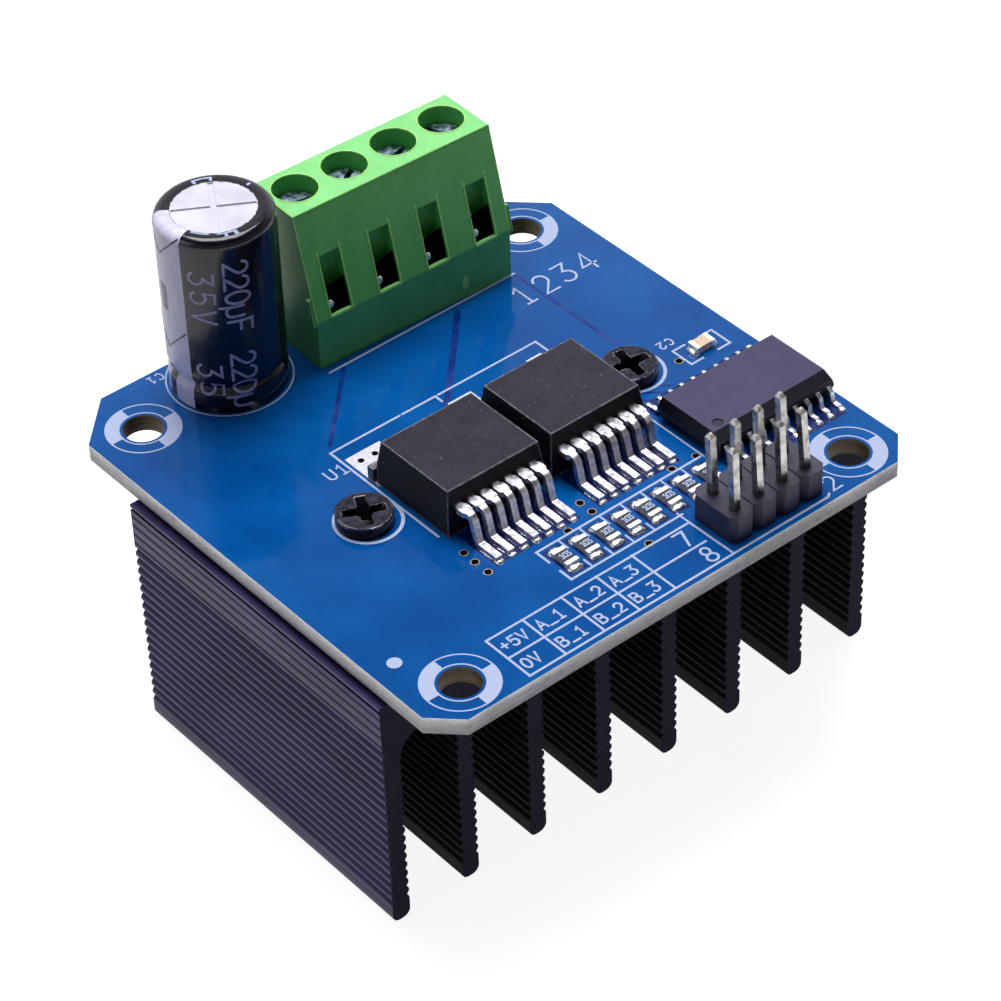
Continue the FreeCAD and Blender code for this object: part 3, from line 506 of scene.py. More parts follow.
print_lines.line([(21.7, -4.55), (23.05, -4.55), (23.05, -2.2), (21.7, -2.2)])
print_lines.line([(11.35, -7.7), (11.35, -14.1)], THIN_LINE)
CAN_X, CAN_Y, CAN_RING = -10.9, 20.23, 5.36
print_lines.ring(CAN_X, CAN_Y, CAN_RING - 0.07, CAN_RING + 0.07, 120, 420, steps=110)
for x, y in ((-13.86, -2.1), (14.35, -1.95)):
    print_lines.ring(x, y, 2.62, 2.92)
print_lines.disc(-22.8, -16.5, 0.62, 0.05)
print_lines.finish("board_lines", ink)

lettering = Stack()
for row, names in ((-21.15, ("+5V", "A_1", "A_2", "A_3")), (-23.75, ("0V", "B_1", "B_2", "B_3"))):
    for x, name in zip((-15.6, -11.95, -8.0, -4.4), names):
        lettering.write(name, x, row, 1.12, width=0.19, pitch=0.82)
lettering.write("7", 2.75, -21.45, 1.7, width=0.21)
lettering.write("8", 3.0, -24.1, 1.75, width=0.21)
lettering.write("2", 16.1, -24.2, 1.7, width=0.18)
lettering.write("1234", 13.7, 10.9, 2.5, width=0.22, pitch=0.94)
lettering.write("U1", -13.0, 3.7, 1.25, 0, 0.17, 0.9)
lettering.write("C1", -15.1, 24.5, 0.9, 180, 0.15, 0.95)
lettering.write("C2", 19.6, -0.6, 0.9, 180, 0.16, 0.95)
lettering.finish("board_numbers", ink)

# Tinned pads, tracks and through-plated holes. Copper etched on the board's face: the pads under
# the chips' tabs are left free of lacquer and tinned, the tracks show darker through the blue,
# and small drilled holes with plated rims carry current down to the other face.


def tinned(name, dark, light, roughness=0.24, lump=0.35, depth=0.02):
    """Bright tin with soft ripples left as it froze."""
    skin, shader = mottled(name, lump, dark, light, roughness * 0.8, roughness * 1.3, depth)
    shader.inputs["Metallic"].default_value = 1.0
    return skin


pad_tin = tinned("tinned pad", (168, 168, 178), (204, 204, 212), 0.5, 0.2)
pads = Stack()
for left, right in ((-10.6, -7.0), (0.2, 2.7), (8.7, 10.35)):
    pads.plate(left, right, 0.6, 5.1, 0.03)
pads.finish("chip_pads", pad_tin)

track_blue, shader = mottled("track under lacquer", 2.0, (0, 42, 126), (2, 54, 142), 0.18, 0.3, 0.01, 2.0)
tracks = Stack()
TRACK_THICKNESS = 0.008
for points, width in (
        ([(-10.3, 7.4), (-3.2, 14.6)], 0.4),
        ([(0.28, 5.2), (8.85, 14.2)], 0.6),
        ([(15.8, 14.8), (15.9, 1.6)], 0.34),
        ([(11.6, -2.2), (15.5, -5.4)], 0.2),
        ([(11.6, -3.4), (14.6, -5.8)], 0.2),
        ([(11.6, -4.6), (13.4, -6.1)], 0.2)):
    tracks.line(points, width, height=TRACK_THICKNESS)
tracks.finish("tracks", track_blue)

POWER_CHIPS, LOGIC_X, LOGIC_Y = (-5.42, 5.31), 18.1, -11.8
# Painted shade and painted reflection: dark navy patches round the power chips' leads, the resistors and the
# logic chip's leads stand for shade and the dark parts mirrored in the gloss lacquer.
painted_shade_blue, shader = mottled("painted shade and reflection round the pads", 0.6, (0, 22, 82), (0, 34, 108), 0.14, 0.3, 0.01)
SHADE_PATCH_THICKNESS = 0.005
shade_patches = Stack()
for middle in POWER_CHIPS:
    shade_patches.plate(middle - 4.35, middle + 4.35, -13.15, -8.1, SHADE_PATCH_THICKNESS)
for k in range(RESISTORS):
    x = RESISTOR_FIRST + RESISTOR_PITCH * k
    shade_patches.plate(x - 0.84, x + 0.84, RESISTOR_Y - 1.8, RESISTOR_Y + 1.8, SHADE_PATCH_THICKNESS)
for side in (-1, 1):
    y = LOGIC_Y + side * 5.0
    shade_patches.plate(11.9, 23.95, y - 0.95, y + 0.95, SHADE_PATCH_THICKNESS)
shade_patches.finish("pad_shade_patches", painted_shade_blue)

# Painted shade: black discs stand for the dark inside of the drilled holes; the same black fills the terminal
# block's slots.
hole_shade, shader = mottled("painted shade in holes", 0.2, (4, 4, 6), (14, 12, 14), 0.6, 0.9)
shader.inputs["Specular IOR Level"].default_value = 0.0
plating, shader = mottled("plated rim", 0.15, (120, 104, 78), (176, 160, 128), 0.3, 0.5, 0.01)
shader.inputs["Metallic"].default_value = 0.7
VIA_PLACES = [(-10.7, -10.2), (-10.74, -11.62), (-10.74, -13.21), (0.08, -11.75), (0.1, -13.18),
              (-2.87, -13.69), (0.89, -19.1), (8.36, -13.53), (10.91, -13.61), (18.21, -3.5)]
holes, rims = Stack(), Stack()
for x, y in VIA_PLACES:
    holes.disc(x, y, 0.33, 0.012, 20)
    rims.ring(x, y, 0.31, 0.39, steps=24, height=0.022)
for x, y in ((-9.67, 4.14), (-8.25, 4.1)):
    holes.disc(x, y, 0.28, 0.012, 20, 0.03)
holes.finish("via_holes", hole_shade)
rims.finish("via_rims", plating)

# Power chips. Each is a block of black epoxy moulded over a copper tab, with seven tinned leads
# cropped and bent to the board. The moulding's edges are rubbed pale by handling.


def rounded(tree, radius):
    """Normals as if the edges were rounded by a radius in millimetres."""
    bevel = tree.nodes.new("ShaderNodeBevel")
    bevel.samples = 3
    bevel.inputs["Radius"].default_value = radius * MM
    return bevel.outputs["Normal"]


# On the chips this mask marks pale worn edges; on the header and the terminal block it paints highlights, on
# the screws both.
def edge_wear_and_highlight(tree, normal, worst):
    """A mask of the edges, from how far the rounded normals turn away from the flat ones."""
    turned = tree.nodes.new("ShaderNodeVectorMath")
    turned.operation = "DOT_PRODUCT"
    tree.links.new(normal, turned.inputs[0])
    tree.links.new(tree.nodes.new("ShaderNodeNewGeometry").outputs["True Normal"], turned.inputs[1])
    return spread(tree, turned.outputs["Value"], 0.0, 1.0, 0.999, worst)


epoxy, tree, shader, place = surface("moulded chip epoxy")
flow = grain(tree, place, 1.6, detail=3.0)
pits = grain(tree, place, 0.07, detail=2.0)
tone = shade(tree, math_node(tree, "MULTIPLY_ADD", flow, 0.55, math_node(tree, "MULTIPLY", pits, 0.45)),
             linear(16, 14, 30), linear(44, 39, 60), 0.34, 0.68)
# Painted shade: every face but the top takes a near-black colour, darker than the top.
upward = math_node(tree, "GREATER_THAN", facing(tree, "Z"), 0.6)
tone = blend_colours(tree, upward, linear(7, 7, 16), tone)
soft = rounded(tree, 0.24)
patchy = spread(tree, grain(tree, place, 0.5), 0.25, 1.0)
dust = spread(tree, grain(tree, place, 0.3, detail=4.0), 0.0, 0.4, 0.66, 0.74)
edges = math_node(tree, "MAXIMUM", math_node(tree, "MULTIPLY", edge_wear_and_highlight(tree, soft, 0.84), patchy), dust)
tree.links.new(blend_colours(tree, edges, tone, linear(184, 180, 198)), shader.inputs["Base Color"])
tree.links.new(spread(tree, pits, 0.56, 0.72), shader.inputs["Roughness"])
shader.inputs["Specular IOR Level"].default_value = 0.3
relief(tree, shader, pits, 0.02)
for number in (1, 2):
    dress("power_chip_%d_body" % number, epoxy)

# Painted reflection: the tab's tin is darkened well below the leads' to stand for the dark reflection on its
# exposed ends.
shaded_tab_tin = tinned("tinned tab with painted dark reflection", (70, 70, 80), (120, 120, 130), 0.46)
lead_tin = tinned("tinned lead", (196, 194, 202), (244, 242, 248), 0.36, 0.5, 0.008)
for number in (1, 2):
    dress("power_chip_%d_tab" % number, shaded_tab_tin)
    dress("power_chip_%d_leads" % number, lead_tin)

# Solder at the power chips' leads. Paste printed on each pad and melted in the oven: it wets
# the foot, runs up its sides a little and freezes in an uneven, shiny skirt.
paste = tinned("oven solder", (196, 198, 206), (248, 248, 250), 0.2, 0.18, 0.05)


def skirt(stack, x, y, width, length, height, seed, steps=14):
    """A low uneven mound of solder with a foot outline like a rounded bar."""
    chance = random.Random(seed)
    rings = []
    for level, grow in ((0.0, 1.0), (0.35, 0.96), (0.75, 0.78), (1.0, 0.45)):
        loop = []
        for i in range(steps):
            angle = 2 * math.pi * i / steps
            c, s = math.cos(angle), math.sin(angle)
            px = math.copysign(abs(c) ** 0.6, c) * width / 2
            py = math.copysign(abs(s) ** 0.6, s) * length / 2
            sway = 1 + chance.uniform(-0.09, 0.09)
            lift = level * height * chance.uniform(0.85, 1.0)
            loop.append(on_board(x + px * grow * sway, y + py * grow * sway, lift))
        rings.append(loop)
    stack.shape(rings)


LEAD_PITCH = 1.27
solder = Stack()
for chip, middle in enumerate(POWER_CHIPS):
    for k in range(7):
        x = middle + (k - 3) * LEAD_PITCH
        skirt(solder, x + 0.02, -12.75, 0.78, 0.86, 0.2, 11 * chip + k)
        skirt(solder, x, -11.6, 0.78, 2.1, 0.07, 50 + 11 * chip + k)
solder.finish("power_chip_solder", paste, smooth=True)

# Logic chip. Twenty fine gull-wing leads out of a flat epoxy body, a round dimple by lead one
# and a long bevel on the same side. Its top is finished finer than the power chips'.
fine_epoxy, tree, shader, place = surface("fine chip epoxy")
haze = grain(tree, place, 2.2, detail=3.0)
pits = grain(tree, place, 0.05, detail=2.0)
tone = shade(tree, math_node(tree, "MULTIPLY_ADD", haze, 0.5, math_node(tree, "MULTIPLY", pits, 0.5)),
             linear(54, 49, 88), linear(66, 61, 102), 0.38, 0.64)
# Painted shade: every face but the top takes a near-black colour, darker than the top.
upward = math_node(tree, "GREATER_THAN", facing(tree, "Z"), 0.85)
tone = blend_colours(tree, upward, linear(10, 9, 26), tone)
LOGIC_REACH, FAR_TOE = 5.15, 0.28
DIMPLE = (LOGIC_X - 5.05, LOGIC_Y - 2.05)
spot = tree.nodes.new("ShaderNodeVectorMath")
spot.operation = "DISTANCE"
flattened = tree.nodes.new("ShaderNodeVectorMath")
flattened.operation = "MULTIPLY"
flattened.inputs[1].default_value = (1, 1, 0)
tree.links.new(place, flattened.inputs[0])
tree.links.new(flattened.outputs["Vector"], spot.inputs[0])
centre = on_board(*DIMPLE)
spot.inputs[1].default_value = (centre.x, centre.y, 0)
dimple = math_node(tree, "LESS_THAN", spot.outputs["Value"], 0.56 * MM)
tone = blend_colours(tree, dimple, tone, linear(34, 30, 54))
edges = math_node(tree, "MULTIPLY", edge_wear_and_highlight(tree, rounded(tree, 0.12), 0.8), 0.4)
tree.links.new(blend_colours(tree, edges, tone, linear(150, 146, 176)), shader.inputs["Base Color"])
tree.links.new(spread(tree, pits, 0.5, 0.64), shader.inputs["Roughness"])
shader.inputs["Specular IOR Level"].default_value = 0.35
relief(tree, shader, pits, 0.008)
dress("logic_chip_body", fine_epoxy)
dress("logic_chip_leads", lead_tin)
small = Stack()
for k in range(10):
    x = LOGIC_X + (k - 4.5) * LEAD_PITCH
    for side in (-1, 1):
        y = LOGIC_Y + side * (LOGIC_REACH + 0.12) + (FAR_TOE if side > 0 else 0)
        skirt(small, x, y, 0.56, 0.95, 0.2, 100 + 2 * k + side)
small.finish("logic_chip_solder", paste, smooth=True)

# Chip resistors. Alumina blocks with a black glazed film on top and tinned caps at both ends,
# soldered down in a row. The glaze carries a plain three-figure value in white.
CAP_START = 0.61


def fired_block(tree, shader, place, speck, letter, middle, body):
    """A fired body and its tinned caps, which start a little way from its middle along one axis."""
    away = math_node(tree, "ABSOLUTE", math_node(tree, "SUBTRACT", axis(tree, place, letter), middle))
    capped = math_node(tree, "GREATER_THAN", away, CAP_START * MM)
    caps = shade(tree, speck, linear(226, 226, 232), linear(250, 250, 252))
    tree.links.new(blend_colours(tree, capped, body, caps), shader.inputs["Base Color"])
    tree.links.new(math_node(tree, "MULTIPLY", capped, 0.8), shader.inputs["Metallic"])
    tree.links.new(spread(tree, speck, 0.36, 0.5), shader.inputs["Roughness"])
    relief(tree, shader, speck, 0.015)


glaze, tree, shader, place = surface("resistor glaze and caps")
speck = grain(tree, place, 0.1)
upward = math_node(tree, "GREATER_THAN", facing(tree, "Z"), 0.5)
film = shade(tree, speck, linear(8, 8, 12), linear(22, 22, 28))
body = blend_colours(tree, upward, linear(196, 192, 188), film)
fired_block(tree, shader, place, speck, "Y", RESISTOR_Y * MM, body)
for number in range(1, RESISTORS + 1):
    dress("chip_resistor_%d" % number, glaze)

BLOCK_TOP = 0.5
figures, fillets = Stack(), Stack()
for k in range(RESISTORS):
    x = RESISTOR_FIRST + RESISTOR_PITCH * k
    figures.write("103", x - 0.46, RESISTOR_Y - 0.28, 0.56, 0, 0.12, 0.57)
    for side in (-1, 1):
        skirt(fillets, x, RESISTOR_Y + side * 1.2, 1.36, 0.9, 0.3, 200 + 2 * k + side, 18)
for i, vertex in enumerate(figures.vertices):
    figures.vertices[i] = vertex + Vector((0, 0, BLOCK_TOP * MM))
figures.finish("resistor_figures", ink)
fillets.finish("resistor_solder", paste, smooth=True)

# Ceramic capacitor. A block of thin ceramic layers, fired tan, with tinned caps at both ends.
# Solder runs up the caps and holds it on its two pads.
CERAMIC_X, CERAMIC_Y = 20.85, -3.4
ceramic, tree, shader, place = surface("ceramic and caps")
speck = grain(tree, place, 0.12)
body = shade(tree, speck, linear(214, 184, 152), linear(236, 212, 188))
fired_block(tree, shader, place, speck, "X", BOARD_MIDDLE.x + CERAMIC_X * MM, body)
dress("ceramic_capacitor", ceramic)
ends = Stack()
for side in (-1, 1):
    skirt(ends, CERAMIC_X + side * 1.05, CERAMIC_Y, 0.8, 1.3, 0.4, 300 + side)
ends.finish("ceramic_solder", paste, smooth=True)

# Pin header. Square tinned pins pressed through black blocks moulded in one strip, soldered
# through the board. The pins are bent a little from use.
nylon, tree, shader, place = surface("header moulding")
sheen = grain(tree, place, 0.8, detail=3.0)
pits = grain(tree, place, 0.06, detail=2.0)
soft = rounded(tree, 0.15)
tone = shade(tree, sheen, linear(24, 21, 48), linear(37, 33, 66))
# Painted highlight: the edges are lightened towards a pale grey, as edges catching the light.
edges = math_node(tree, "MULTIPLY", edge_wear_and_highlight(tree, soft, 0.8), 0.35)
tree.links.new(blend_colours(tree, edges, tone, linear(120, 118, 160)), shader.inputs["Base Color"])
tree.links.new(spread(tree, pits, 0.4, 0.56), shader.inputs["Roughness"])
relief(tree, shader, pits, 0.01, soft)
dress("header_body", nylon)
pin_tin = tinned("tinned pin", (142, 140, 138), (206, 204, 200), 0.25, 0.8, 0.01)
for number in range(1, 9):
    dress("header_pin_%d" % number, pin_tin)
HEADER_X, HEADER_Y, HEADER_PITCH, HEADER_TOP = 10.7, -21.25, 2.54, 2.54
recess, shader = mottled("shadowed pin mouth", 0.2, (6, 6, 10), (18, 17, 26), 0.5, 0.7)
mouths = Stack()
for row in (-1, 1):
    for column in range(4):
        x = HEADER_X + (column - 1.5) * HEADER_PITCH
        y = HEADER_Y + row * HEADER_PITCH / 2
        mouths.ring(x, y, 0.34, 0.56, steps=16, height=0.02, low=HEADER_TOP)
mouths.finish("header_pin_mouths", recess)

# Electrolytic capacitor. A drawn aluminium can with a scored top, sealed by a rubber bung and
# dressed in a shrunk black sleeve. The sleeve is printed before it is shrunk: a pale band with
# bars marks the negative side, and its capacity and voltage run down the front.
bare_can, tree, shader, place = surface("drawn aluminium")
lines = grain(tree, place, 0.14, detail=3.0)
sweep = grain(tree, place, 2.5, detail=2.0)
tree.links.new(shade(tree, sweep, linear(196, 195, 210), linear(214, 213, 226)), shader.inputs["Base Color"])
shader.inputs["Metallic"].default_value = 0.3
tree.links.new(spread(tree, lines, 0.46, 0.6), shader.inputs["Roughness"])
relief(tree, shader, lines, 0.005)
dress("capacitor_can", bare_can)
rubber, shader = mottled("bung rubber", 0.4, (26, 26, 28), (44, 44, 46), 0.6, 0.8, 0.02)
dress("capacitor_bung", rubber)
dress("capacitor_leads", lead_tin)

SLEEVE_RADIUS, LIP_RADIUS, BUNG_EDGE = 5.02, 3.58, 4.33
SLEEVE_TOP, RIM_ROUND, FILM = 17.4, 0.82, 0.1
NECK_HEIGHT, NECK_DEPTH, NECK_LENGTH = 2.5, 0.34, 0.42
SIDE = SLEEVE_TOP - RIM_ROUND
OVER = SIDE + RIM_ROUND * math.pi / 2
LIP_END = OVER + SLEEVE_RADIUS - RIM_ROUND - LIP_RADIUS


def on_sleeve(angle, run, proud=0.0):
    """A point on the sleeve: degrees round from +X, and a run up its side, over its rim and along its lip."""
    around = math.radians(angle)
    pucker = math.sin(23 * around) + math.sin(37 * around + 1.0) + math.sin(61 * around + 2.0)
    if run < SIDE:
        neck = NECK_DEPTH * math.exp(-((run - NECK_HEIGHT) / NECK_LENGTH) ** 2)
        crease = 0.006 * pucker * max(0.0, (run - SIDE + 1.2) / 1.2)
        radius, z = SLEEVE_RADIUS - neck + crease + proud, run
    elif run < OVER:
        turn = (run - SIDE) / RIM_ROUND
        reach = RIM_ROUND + 0.006 * pucker * (1 - turn / math.pi * 2) + proud
        radius = SLEEVE_RADIUS - RIM_ROUND + reach * math.cos(turn)
        z = SIDE + reach * math.sin(turn)
    else:
        past = (run - OVER) / (LIP_END - OVER)
        radius = SLEEVE_RADIUS - RIM_ROUND - (run - OVER) + 0.02 * pucker * past
        z = SLEEVE_TOP + proud - 0.03 * past
    return on_board(CAN_X + radius * math.cos(around), CAN_Y + radius * math.sin(around), z)


def runs_between(low, high):
    """Runs up the sleeve from low to high, closer together where its side bends."""
    marks = [0.0, 1.2, 1.7, 1.95, 2.15, 2.3, 2.5, 2.7, 2.85, 3.05, 3.3, 3.8, 8.0, 12.0, 15.4]
    marks += [SIDE + (OVER - SIDE) * i / 8 for i in range(9)] + [LIP_END - 0.05, LIP_END]
    return [low] + [mark for mark in marks if low + 0.02 < mark < high - 0.02] + [high]


def wrap(vertices, faces, low_angle, high_angle, low, high, proud):
    """Adds a patch of printed skin to lists of vertices and faces."""
    columns = max(1, round(abs(high_angle - low_angle) / 1.5))
    levels = runs_between(low, high)
    base = len(vertices)
    for run in levels:
        for i in range(columns + 1):
            vertices.append(on_sleeve(low_angle + (high_angle - low_angle) * i / columns, run, proud))
    for r in range(len(levels) - 1):
        for i in range(columns):
            a = base + r * (columns + 1) + i
            faces.append((a, a + 1, a + columns + 2, a + columns + 1))


film, tree, shader, place = surface("shrunk sleeve")
pull = grain(tree, place, 1.6, (1, 1, 3.0), 2.0)
dust = grain(tree, place, 0.25, detail=2.0)
tree.links.new(shade(tree, pull, linear(9, 9, 22), linear(16, 15, 32)), shader.inputs["Base Color"])
tree.links.new(spread(tree, dust, 0.14, 0.24), shader.inputs["Roughness"])
shader.inputs["IOR"].default_value = 1.5
relief(tree, shader, pull, 0.02)
TURNS = 144
steps = runs_between(0.0, LIP_END)
vertices, faces = [], []
for i in range(TURNS):
    angle = 360 * i / TURNS
    vertices += [on_sleeve(angle, run) for run in steps]
    vertices += [on_sleeve(angle, run, -FILM) for run in reversed(steps[1:])]
    foot = math.radians(angle)
    for z in (FILM, 0.0):
        vertices.append(on_board(CAN_X + BUNG_EDGE * math.cos(foot), CAN_Y + BUNG_EDGE * math.sin(foot), z))
rows = 2 * len(steps) + 1
for i in range(TURNS):
    a, b = i * rows, (i + 1) % TURNS * rows
    for j in range(rows):
        k = (j + 1) % rows
        faces.append((a + j, b + j, b + k, a + k))
sleeve = build("sleeve", vertices, faces, film, smooth=True)
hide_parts("capacitor_sleeve")

stripe_ink, tree, shader, place = surface("silver stripe ink")
fade = grain(tree, place, 0.9, (1, 1, 3), 3.0)
mark = grain(tree, place, 0.14, detail=2.0)
tone = math_node(tree, "MULTIPLY_ADD", fade, 0.6, math_node(tree, "MULTIPLY", mark, 0.4))
silver = shade(tree, tone, linear(214, 212, 250), linear(236, 234, 255), 0.38, 0.62)
tree.links.new(silver, shader.inputs["Base Color"])
tree.links.new(spread(tree, fade, 0.3, 0.44), shader.inputs["Roughness"])
relief(tree, shader, mark, 0.006)
dark_ink, shader = mottled("dark sleeve ink", 0.9, (20, 20, 34), (40, 38, 60), 0.25, 0.4)
letter_ink, shader = mottled("sleeve letter ink", 0.6, (150, 148, 190), (188, 186, 222), 0.3, 0.45)

STRIPE_LEFT, STRIPE_RIGHT, STRIPE_MIDDLE = 144.5, 198.5, 168.0
BAR_HALF = 6.0
vertices, faces = [], []
wrap(vertices, faces, STRIPE_LEFT, STRIPE_RIGHT, 0.05, LIP_END - 0.03, 0.01)
build("sleeve_stripe", vertices, faces, stripe_ink, smooth=True)
vertices, faces = [], []
for low, high in ((0.15, 3.3), (9.05, 11.67)):
    wrap(vertices, faces, STRIPE_MIDDLE - BAR_HALF, STRIPE_MIDDLE + BAR_HALF, low, high, 0.022)
build("sleeve_bars", vertices, faces, dark_ink, smooth=True)


def sleeve_print(name, skin, draw, proud=0.03):
    """Wraps flat drawings on the sleeve: x runs down from a height, y runs round from an angle."""
    vertices, faces = [], []
    zero = on_board(0, 0)
    for flat, angle, top in draw:
        base = len(vertices)
        for v in flat.vertices:
            down, around, lift = (v.x - zero.x) / MM, (v.y - zero.y) / MM, (v.z - zero.z) / MM
            turn = angle + math.degrees(around / SLEEVE_RADIUS)
            height = proud + lift - INK_THICKNESS if lift > 0.001 else 0.0
            vertices.append(on_sleeve(turn, top - down, height))
        faces += [tuple(base + i for i in face) for face in flat.faces]
    return build(name, vertices, faces, skin)


LETTER_HEIGHT, STROKE, STROKE_STEP = 2.05, 0.24, 0.22
drawings = []
for text, angle, top, pitch in (("35V", 206.0, 14.4, 0.94), ("35", 206.0, 5.0, 0.94),
                                ("220uF", 239.5, 15.3, 0.72), ("220u", 239.5, 6.1, 0.72)):
    flat = Stack()
    flat.write(text, 0, 0, LETTER_HEIGHT, 0, STROKE, pitch, STROKE_STEP)
    drawings.append((flat, angle, top))
sleeve_print("sleeve_letters", letter_ink, drawings)

arrows = Stack()
for top in (0.0, 9.5):
    points = [(1.95 + top, 2.45), (4.4 + top, 0.0), (1.95 + top, -2.2)]
    fine = []
    for a, b in zip(points, points[1:]):
        fine += [tuple(Vector(a).lerp(Vector(b), k / 12)) for k in range(12)]
    arrows.line(fine + [points[-1]], 0.16)
sleeve_print("sleeve_arrows", dark_ink, [(arrows, STRIPE_MIDDLE, SLEEVE_TOP + 1.7)])

LIP_WIDTH = 0.76
lip_marks = Stack()
for start, end, low, high in ((55, 59, 0.2, 0.72), (55, 80, 0.2, 0.38), (76, 80, 0.2, 0.72),
                              (6.5, 10, 0.15, 0.5), (203, 228, 0.5, 0.66), (237, 262, 0.45, 0.64),
                              (246, 249.5, 0.0, 0.55), (257.5, 262, 0.0, 0.55)):
    low_run, high_run = LIP_END - LIP_WIDTH + low, LIP_END - LIP_WIDTH + high
    turns = [start + (end - start) * k / 8 for k in range(9)]
    corners = [(turn, low_run) for turn in turns] + [(turn, high_run) for turn in reversed(turns)]
    lip_marks.patch([(SLEEVE_TOP - run, math.radians(angle) * SLEEVE_RADIUS) for angle, run in corners])
sleeve_print("lip_marks", ink, [(lip_marks, 0.0, SLEEVE_TOP)])

# Terminal block. A green nylon housing moulded in one piece; each pole has a steel screw in a
# well, a nickelled cage that it draws up, and a tinned contact bent down through the board.
nylon_green, tree, shader, place = surface("moulded green nylon")
cloud = grain(tree, place, 2.4, detail=4.0)
spark = grain(tree, place, 0.12, detail=3.0)
tone = math_node(tree, "MULTIPLY_ADD", cloud, 0.5, math_node(tree, "MULTIPLY", spark, 0.5))
moulded = shade(tree, tone, linear(92, 190, 94), linear(112, 210, 116), 0.36, 0.66)
lit_top_green = shade(tree, tone, linear(128, 220, 126), linear(148, 238, 148), 0.36, 0.66)
# Painted light: faces that look up take a lighter green than the sides, as a lit top.
tone = blend_colours(tree, math_node(tree, "GREATER_THAN", facing(tree, "Z"), 0.9), moulded, lit_top_green)
soft = rounded(tree, 0.13)
# Painted highlight: the housing's edges are lightened to a pale green, as edges catching the light.
edges = math_node(tree, "MULTIPLY", edge_wear_and_highlight(tree, soft, 0.85), 0.7)
tree.links.new(blend_colours(tree, edges, tone, linear(150, 240, 120)), shader.inputs["Base Color"])
tree.links.new(spread(tree, spark, 0.36, 0.5), shader.inputs["Roughness"])
shader.inputs["Subsurface Weight"].default_value = 0.1
shader.inputs["Subsurface Radius"].default_value = (0.4 * MM, 1.2 * MM, 0.5 * MM)
shader.inputs["Subsurface Scale"].default_value = 1.0
relief(tree, shader, spark, 0.012, soft)
dress("terminal_housing", nylon_green)
zinc = tinned("zinc plated steel", (96, 122, 146), (170, 190, 206), 0.3, 0.6, 0.015)
nickel = tinned("nickelled brass", (150, 148, 142), (206, 204, 198), 0.26, 0.8, 0.012)
for number in range(1, 5):
    dress("terminal_screw_%d" % number, zinc)
    dress("terminal_clamp_%d" % number, nickel)
    dress("terminal_pin_%d" % number, lead_tin)

BLOCK_X, BLOCK_FRONT, BLOCK_DEPTH, BLOCK_HEIGHT, BLOCK_STEP = 5.58, 15.45, 8.4, 14.3, 4.75
BLOCK_SETBACK = 2.5
BLOCK_TURN, BLOCK_LEAN = math.radians(-1.75), BLOCK_SETBACK / (BLOCK_HEIGHT - BLOCK_STEP)
POLE_PITCH = 5.08
SLOT_HALF, SLOT_LOW, SLOT_HIGH = 1.05, 4.9, 10.15
WELL_RADIUS, WELL_CENTRE = 2.0, 5.7


def on_block(x, y, z):
    """A point of the block, measured from its middle, its front wall and the board, in the frame."""
    back = y - BLOCK_DEPTH / 2
    c, s = math.cos(BLOCK_TURN), math.sin(BLOCK_TURN)
    return on_board(BLOCK_X + x * c - back * s, BLOCK_FRONT + BLOCK_DEPTH / 2 + x * s + back * c, z)


def lean(z):
    """Depth of the sloped front at a height, in millimetres."""
    return max(0.0, z - BLOCK_STEP) * BLOCK_LEAN


flash_and_highlights = Stack()
mouths = Stack()
tips = Stack()
for pole in range(4):
    middle = (pole - 1.5) * POLE_PITCH
    for low_x, high_x, low_z, high_z in (
            (-SLOT_HALF - 0.12, -SLOT_HALF, SLOT_LOW - 0.1, SLOT_HIGH + 0.35),
            (SLOT_HALF, SLOT_HALF + 0.14, SLOT_LOW - 0.1, SLOT_HIGH + 0.5),
            (-SLOT_HALF, SLOT_HALF, SLOT_LOW - 0.2, SLOT_LOW)):
        loops = []
        for sink in (0.05, -0.07):
            loops.append([on_block(middle + x, lean(z) + sink, z) for x, z in
                          ((low_x, low_z), (high_x, low_z), (high_x, high_z), (low_x, high_z))])
        flash_and_highlights.shape(loops)
    # Painted shade: a black plate behind the lower half of each slot, where it opens into the dark chamber.
    loops = []
    for sink in (0.3, 0.22):
        loops.append([on_block(middle + x, lean(z) + sink, z) for x, z in
                      ((-SLOT_HALF, SLOT_LOW), (SLOT_HALF, SLOT_LOW), (SLOT_HALF, 7.55), (-SLOT_HALF, 7.25))])
    mouths.shape(loops)
    loops = []
    for turn in range(6):
        angle = math.pi / 2 * turn / 6
        loops.append([on_block(middle - 0.76 + 0.27 * math.cos(angle) * math.cos(k * math.pi / 7),
                               lean(5.7) + 0.22 - 0.2 * math.sin(angle),
                               5.75 + 0.4 * math.cos(angle) * math.sin(k * math.pi / 7)) for k in range(14)])
    tips.shape(loops)
    # Painted highlight: a raised pale green ring round each well's rim stands for the rim catching the light.
    count = 40
    loops = []
    for grow, rise in ((0.13, -0.02), (0.08, 0.05), (-0.02, 0.04), (-0.04, -0.05)):
        radius, z = WELL_RADIUS + grow, BLOCK_HEIGHT + rise
        turns = [2 * math.pi * k / count for k in range(count)]
        loops.append([on_block(middle + radius * math.cos(turn), WELL_CENTRE + radius * math.sin(turn), z)
                      for turn in turns])
    base = len(flash_and_highlights.vertices)
    for loop in loops:
        flash_and_highlights.vertices += loop
    for i in range(3):
        for k in range(count):
            a, b = base + i * count + k, base + i * count + (k + 1) % count
            flash_and_highlights.faces.append((a, b, b + count, a + count))
